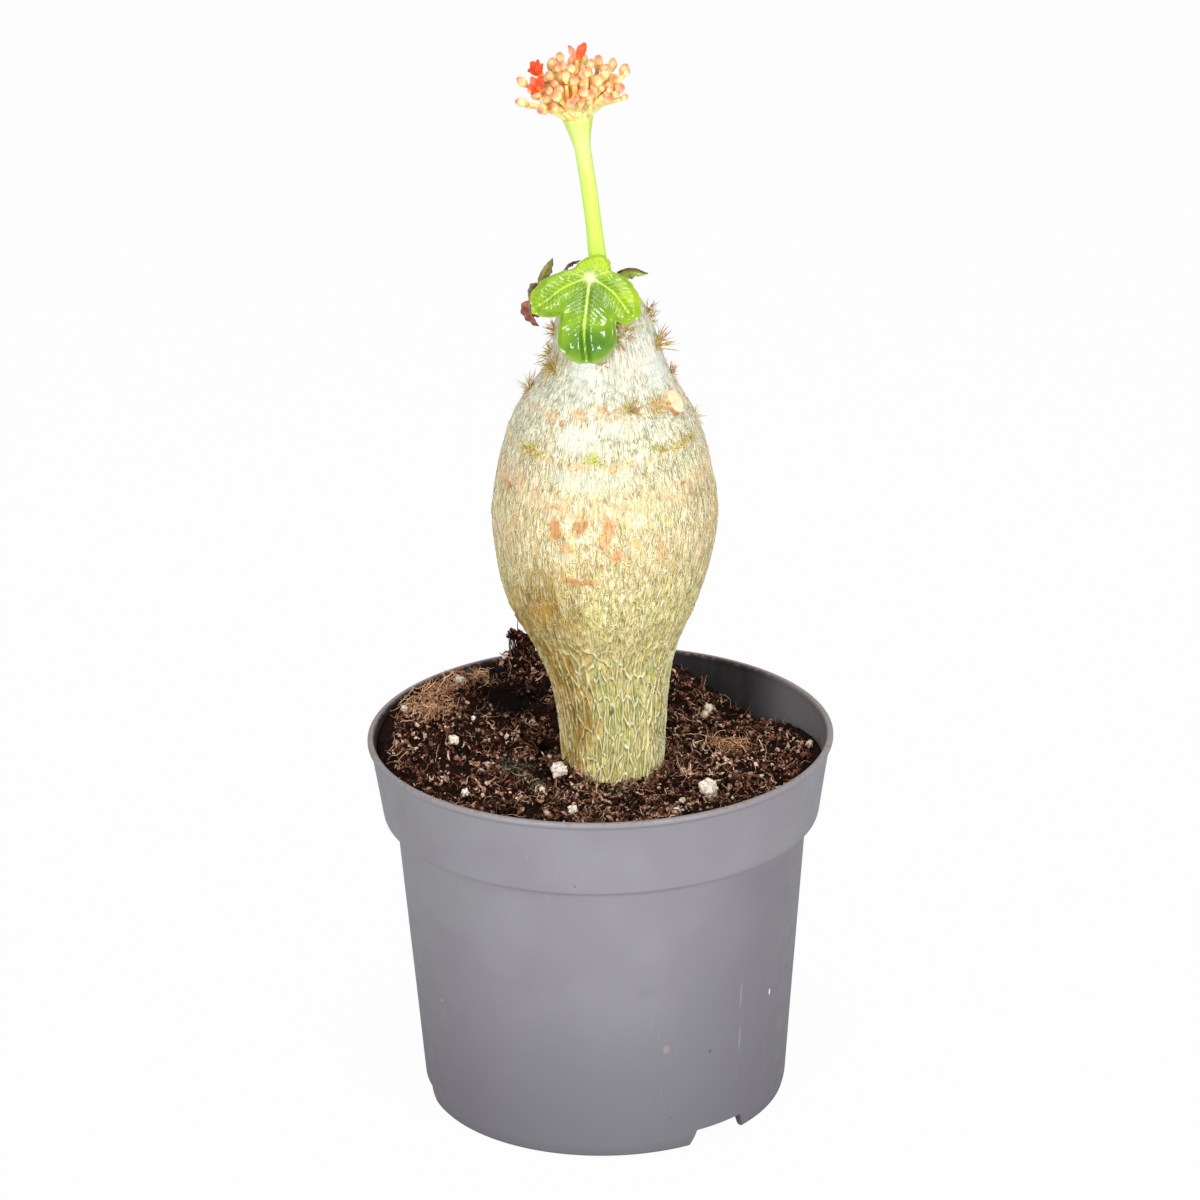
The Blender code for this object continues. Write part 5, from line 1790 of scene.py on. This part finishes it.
def buildYoungLeaves():
    young = youngMaterial()
    for node, (foot, *blades) in youngLeaves.items():
        parts = []
        for number, (line, (halfWidth, fold, across, green, red)) in enumerate(blades):
            line = np.array(line) / mm
            points, faces, side = bladePoints(line, halfWidth / mm, fold, across, number * 2.0)
            parts.append((points, faces, {"side": side, "green": green, "red": red}))
        seat, out = onStem(*foot)
        stalk = curvedPath(seat - out * 0.0004, out, np.array(blades[0][0][0]) / mm, 9)
        stalk = tube(stalk, np.linspace(*youngShape["stalkRadii"], 9), 9)
        parts.append((*stalk, {"side": 0.4, "green": 0.6, "red": 0.0}))
        give(joined(node.replace("young_leaf", "young_blade"), parts, young), "leaf_young", node)


buildYoungLeaves()


# Cut leaf stalk on the shoulder

stubShape = {
    "angle": 61,
    "height": 0.1914,
    "radius": 0.0031,
    "length": 0.0016,
    "sides": 40,
    # share of the length, share of the radius, how far it belongs to the cut face
    "profile": (
        (-0.30, 1.02, 0.0), (0.0, 1.06, 0.0), (0.20, 1.02, 0.1), (0.55, 0.98, 0.3), (0.82, 0.96, 0.7),
        (0.96, 0.88, 1.0), (1.0, 0.76, 1.0), (0.96, 0.60, 1.0), (0.93, 0.30, 1.0),
    ),
}


def stubMaterial():
    made, tree, place = newMaterial("cut stalk", 0.62, 0.35)
    face, under = valuesOf(tree, "face", "under")
    pale = blend(patchy(place, 700.0, 0.4, 0.65), "fbe4c2", "f4d4a8")
    # painted shade under the cut stalk, over its brown torn edge
    colour = blend(under, blend(face, "f2ce98", pale), "a8683e")
    colour = layered(colour, (patchy(place, 900.0, 0.5, 0.66), minus(0.8, face), "965c2e"))
    return finished(made, colour, bump=(noisy(place, 1300.0), 0.5, 0.0002))


def buildStub():
    spot, out = onStem(stubShape["angle"], stubShape["height"])
    turn = circle(stubShape["sides"])
    wide = unit(np.cross(upward, out))
    deep = np.cross(out, wide)
    rings, faceShare = [], []
    for share, size, flat in stubShape["profile"]:
        wobble = 1 + 0.05 * np.sin(2 * turn + 0.8) + 0.03 * np.sin(5 * turn + 4 * share)
        disc = np.cos(turn)[:, None] * wide * 0.78 + np.sin(turn)[:, None] * deep * 1.05
        centre = spot + out * share * stubShape["length"]
        rings.append(centre + disc * (stubShape["radius"] * size * wobble)[:, None])
        faceShare += [flat] * len(turn)
    points, faces = closedSkin(rings)
    stub = makeObject("cut_leaf_stalk", points, faces, stubMaterial())
    fromSpot = (points - spot) / stubShape["radius"]
    # the lower side of the cut stalk is marked for painted shade over its torn edge
    under = smoothStep(-fromSpot @ deep - 0.45 * (fromSpot @ wide) * np.sign(wide[0]), 0.25, 0.85)
    under *= (points - spot) @ out < 0.7 * stubShape["length"]
    addAttributes(stub, face=faceShare + [0, 1], under=0.85 * under)
    give(stub, "stub_buff", "petiole_stub")


buildStub()


# Spiny stipules

spineSet = {
    "perTuft": 32,
    "spread": 0.00093,
    "sunk": 0.0002,
    "length": 0.0042,
    "thickness": 0.00016,
    "relativeThickness": 0.050,
    "seed": 21,
    "sizes": {2: 0.62, 9: 0.8, 10: 0.8},   # of the frame's tufts that are small
    "greenTuft": 10,
}
# Tufts with no piece of their own in the frame: angle, height in millimetres, size, share of green
extraTufts = (
    (-46, 182.2, 0.75, 0.75), (-40, 181.5, 0.6, 0.75), (-52, 181.2, 0.6, 0.7), (45, 182.2, 0.55, 0.8),
    (54, 182.2, 0.55, 0.75), (37, 182.2, 0.5, 0.8), (31, 183.2, 0.4, 0.8), (62, 182.8, 0.4, 0.75),
    (46, 191.3, 0.8, 0.3), (40, 190.5, 0.6, 0.3), (17, 192.4, 0.5, 0.8), (20, 192.1, 0.5, 0.2),
    (24, 191.9, 0.5, 0.5), (-8, 181.3, 0.4, 1.4), (-5, 181.2, 0.4, 1.4), (-5, 203, 0.35, 0.1),
    (120, 208, 1.1, 0.4), (150, 203, 1, 0.3), (-150, 206, 1.1, 0.4), (175, 199, 0.9, 0.4),
    (-120, 198.5, 1.1, 0.4), (130, 193.5, 0.9, 0.3), (-160, 191.5, 0.9, 0.3), (175, 181.5, 0.7, 0.8),
    (110, 182, 0.7, 0.8), (-125, 182.2, 0.8, 0.8), (-64, 199.5, 0.6, 0.5), (16, 208.5, 0.8, 0.3),
)


def spineTree():
    tree, given, out = shapeTree("spines", {"Spine": "Object", "Thickness": 1.0, "Seed": 1})
    way, long = stored(tree, "way", "FLOAT_VECTOR"), stored(tree, "long")
    aimed = addNode(tree, "FunctionNodeAlignRotationToVector", {"Vector": way}, axis="Z").outputs[0]
    spin = combined(tree, None, None, randomOf(tree, 0.0, math.tau, given["Seed"]))
    spin = addNode(tree, "FunctionNodeEulerToRotation", {0: spin}).outputs[0]
    facing = addNode(tree, "FunctionNodeRotateRotation", {0: aimed, 1: spin}, rotation_space="LOCAL")
    thick = times(given["Thickness"], doMath("SQRT", long))
    spine = addNode(tree, "GeometryNodeObjectInfo", {"Object": given["Spine"], "As Instance": True})
    laid = addNode(tree, "GeometryNodeInstanceOnPoints", {
        "Points": given["Geometry"], "Instance": spine.outputs["Geometry"], "Rotation": facing.outputs[0],
        "Scale": combined(tree, thick, thick, long),
    })
    return closeTree(tree, given, out, laid.outputs[0])


def stipuleMaterial():
    made, tree, _ = newMaterial("stipules", 0.6, 0.35)
    up, green, tint, pale = valuesOf(tree, "up", "greenness", "tint", "pale")
    brown = blend(pale, blend(tint, "b07648", "e2b47c"), "fae2a8")
    tip = layered(blend(tint, "7a422c", "b4744e"), (pale, 0.5, "d6a874"))
    fresh = blend(ranged(green, 1.02, 1.20), blend(tint, "aab23a", "f2f47a"), "ecf070")
    foot = times(ranged(up, 0.55, 0.1), 0.55)
    foot = doMath("MAXIMUM", times(green, 0.85), foot, clamp=True)
    foot = times(foot, ranged(pale, 0.0, 1.0, 1.0, 0.35))
    return finished(made, blend(foot, blend(ranged(up, 0.35, 0.9), brown, tip), fresh))


def spineShape():
    share = np.linspace(0, 1, 6)
    path = np.stack([0.14 * share ** 2, 0.05 * np.sin(3 * share), share], -1)
    barb = np.stack([0.04 + 0.38 * share, 0.1 * share, 0.42 + 0.34 * share], -1)
    radii = spineSet["thickness"] / spineSet["length"] * (1 - share) ** 0.7 + 0.006
    parts = []
    for line, size, sides in ((path, radii, 4), (barb, radii * 0.7, 3)):
        points, faces = tube(line, size, sides)
        parts.append((points, faces, {"up": np.clip(points[:, 2], 0, 1)}))
    return joined("spine", parts, None)


def buildStipules():
    dice = np.random.default_rng(spineSet["seed"])
    spots, ways, longs, greens, pales = [], [], [], [], []
    tufts = [(angle, height / mm, size, green) for angle, height, size, green in extraTufts]
    for number, node in enumerate(numbered("stipule_tuft", 11), 1):
        low, high = corners(node)
        centre = (low + high) / 2
        middle = stemAt(centre[2])[0][0]
        angle = math.degrees(math.atan2(centre[0] - middle[0], -(centre[1] - middle[1])))
        size = (high - low).max() / 0.0048 * spineSet["sizes"].get(number, 1.0)
        tufts.append((angle, centre[2] - 0.0003, size, 1.4 if number == spineSet["greenTuft"] else 0.35))
    for angle, height, size, green in tufts:
        seat, out = onStem(angle, height)
        up = unit(upward - out * out[2])
        side = np.cross(up, out)
        for _ in range(int(spineSet["perTuft"] * (0.5 + 0.5 * size))):
            a, b = dice.normal(0, 1, 2)
            spread = spineSet["spread"] * size
            spots.append(seat + (side * a + up * b * 0.45) * spread - out * spineSet["sunk"])
            ways.append(unit(
                out * dice.uniform(0.35, 1.0) + side * (0.55 * a + dice.normal(0, 0.35))
                + up * (0.25 + 0.4 * b + dice.normal(0, 0.3))
            ))
            long = spineSet["length"] * (0.25 + 0.75 * size)
            longs.append(long * dice.choice([0.35, 0.6, 1.0]) * dice.uniform(0.7, 1.15))
            pales.append(0.85 if 38 < angle < 50 and height > 0.188 else 0.0)
            greens.append(np.clip(green + dice.normal(0, 0.25), 0, 1 if green < 1 else 1.5))
    tufts = makeObject("stipule_spines", spots, [])
    addAttributes(tufts, long=longs, greenness=greens, pale=pales, tint=dice.random(len(spots)), way=ways)
    spine = spineShape()
    runTree(tufts, spineTree(), {
        "Spine": spine, "Thickness": spineSet["relativeThickness"], "Seed": 4, "Material": stipuleMaterial(),
    })
    bpy.data.objects.remove(spine)
    tufts.data.shade_smooth()
    give(tufts, "stipule_brown", *numbered("stipule_tuft", 11))


buildStipules()


# Floor, light and camera

stageSet = {
    "cameraPlace": (0.000457, -1.21234, 0.60430),
    "cameraPitch": 68.838,
    "cameraRoll": -0.908,
    "lens": 152.89,
    "sky": 0.52,
    "floorReach": 3.0,
    "floorWhite": 0.97,
    "skyWhite": 0.985,
    "lampsAim": (0, 0, 0.14),
    # name: place, size, watts
    "lamps": (
        ("frontLeft", (-0.58, -1.10, 0.52), 0.42, 9.2),
        ("frontRight", (0.74, -0.96, 0.46), 0.42, 9.1),
        ("above", (0.05, -0.10, 1.15), 0.70, 3.8),
    ),
}


# The camera sees plain white where the light falls on a soft grey
def whiteSeen(tree, kind, strength, plain, output, share=None):
    white = addNode(tree, kind, {"Color": (1, 1, 1, 1), "Strength": strength})
    seen = tree.nodes.new("ShaderNodeLightPath").outputs["Is Camera Ray"]
    seen = times(seen, share) if share else seen
    both = addNode(tree, "ShaderNodeMixShader", {0: seen, 1: plain.outputs[0], 2: white.outputs[0]})
    tree.links.new(both.outputs[0], tree.nodes[output].inputs[0])


def buildFloor():
    reach = stageSet["floorReach"]
    points = [(x * reach, y * reach, -0.0002) for x, y in ((-1, -1), (1, -1), (1, 1), (-1, 1))]
    made, tree, _ = newMaterial("pale floor", 0.9, 0.5, {"Base Color": tone("c4c4c4")})
    shader = tree.nodes["Principled BSDF"]
    whiteSeen(tree, "ShaderNodeEmission", 1.0, shader, "Material Output", stageSet["floorWhite"])
    floor = makeObject("floor", points, [[0, 1, 2, 3]], made, smooth=False)


def buildSky():
    world = bpy.data.worlds.new("soft white")
    world.use_nodes = True
    sky = world.node_tree.nodes["Background"]
    sky.inputs["Color"].default_value = (1, 1, 1, 1)
    sky.inputs["Strength"].default_value = stageSet["sky"]
    whiteSeen(world.node_tree, "ShaderNodeBackground", stageSet["skyWhite"], sky, "World Output")
    bpy.context.scene.world = world


def buildLamps():
    for name, place, size, watts in stageSet["lamps"]:
        light = bpy.data.lights.new(name, "AREA")
        light.shape, light.size, light.energy = "SQUARE", size, watts
        lamp = linked(name, light)
        lamp.location = place
        way = Vector(stageSet["lampsAim"]) - Vector(place)
        lamp.rotation_euler = way.to_track_quat("-Z", "Y").to_euler()


def buildCamera():
    camera = bpy.data.cameras.new("camera")
    camera.lens, camera.sensor_width, camera.clip_start = stageSet["lens"], 36, 0.05
    made = linked("camera", camera)
    pitch = Matrix.Rotation(math.radians(stageSet["cameraPitch"]), 4, "X")
    roll = Matrix.Rotation(math.radians(stageSet["cameraRoll"]), 4, "Z")
    made.matrix_world = Matrix.Translation(stageSet["cameraPlace"]) @ pitch @ roll
    bpy.context.scene.camera = made


buildFloor()
buildSky()
buildLamps()
buildCamera()
bpy.context.scene.view_settings.view_transform = "Standard"
bpy.context.scene.view_settings.look = "None"
print("stage set")

bpy.context.view_layer.update()
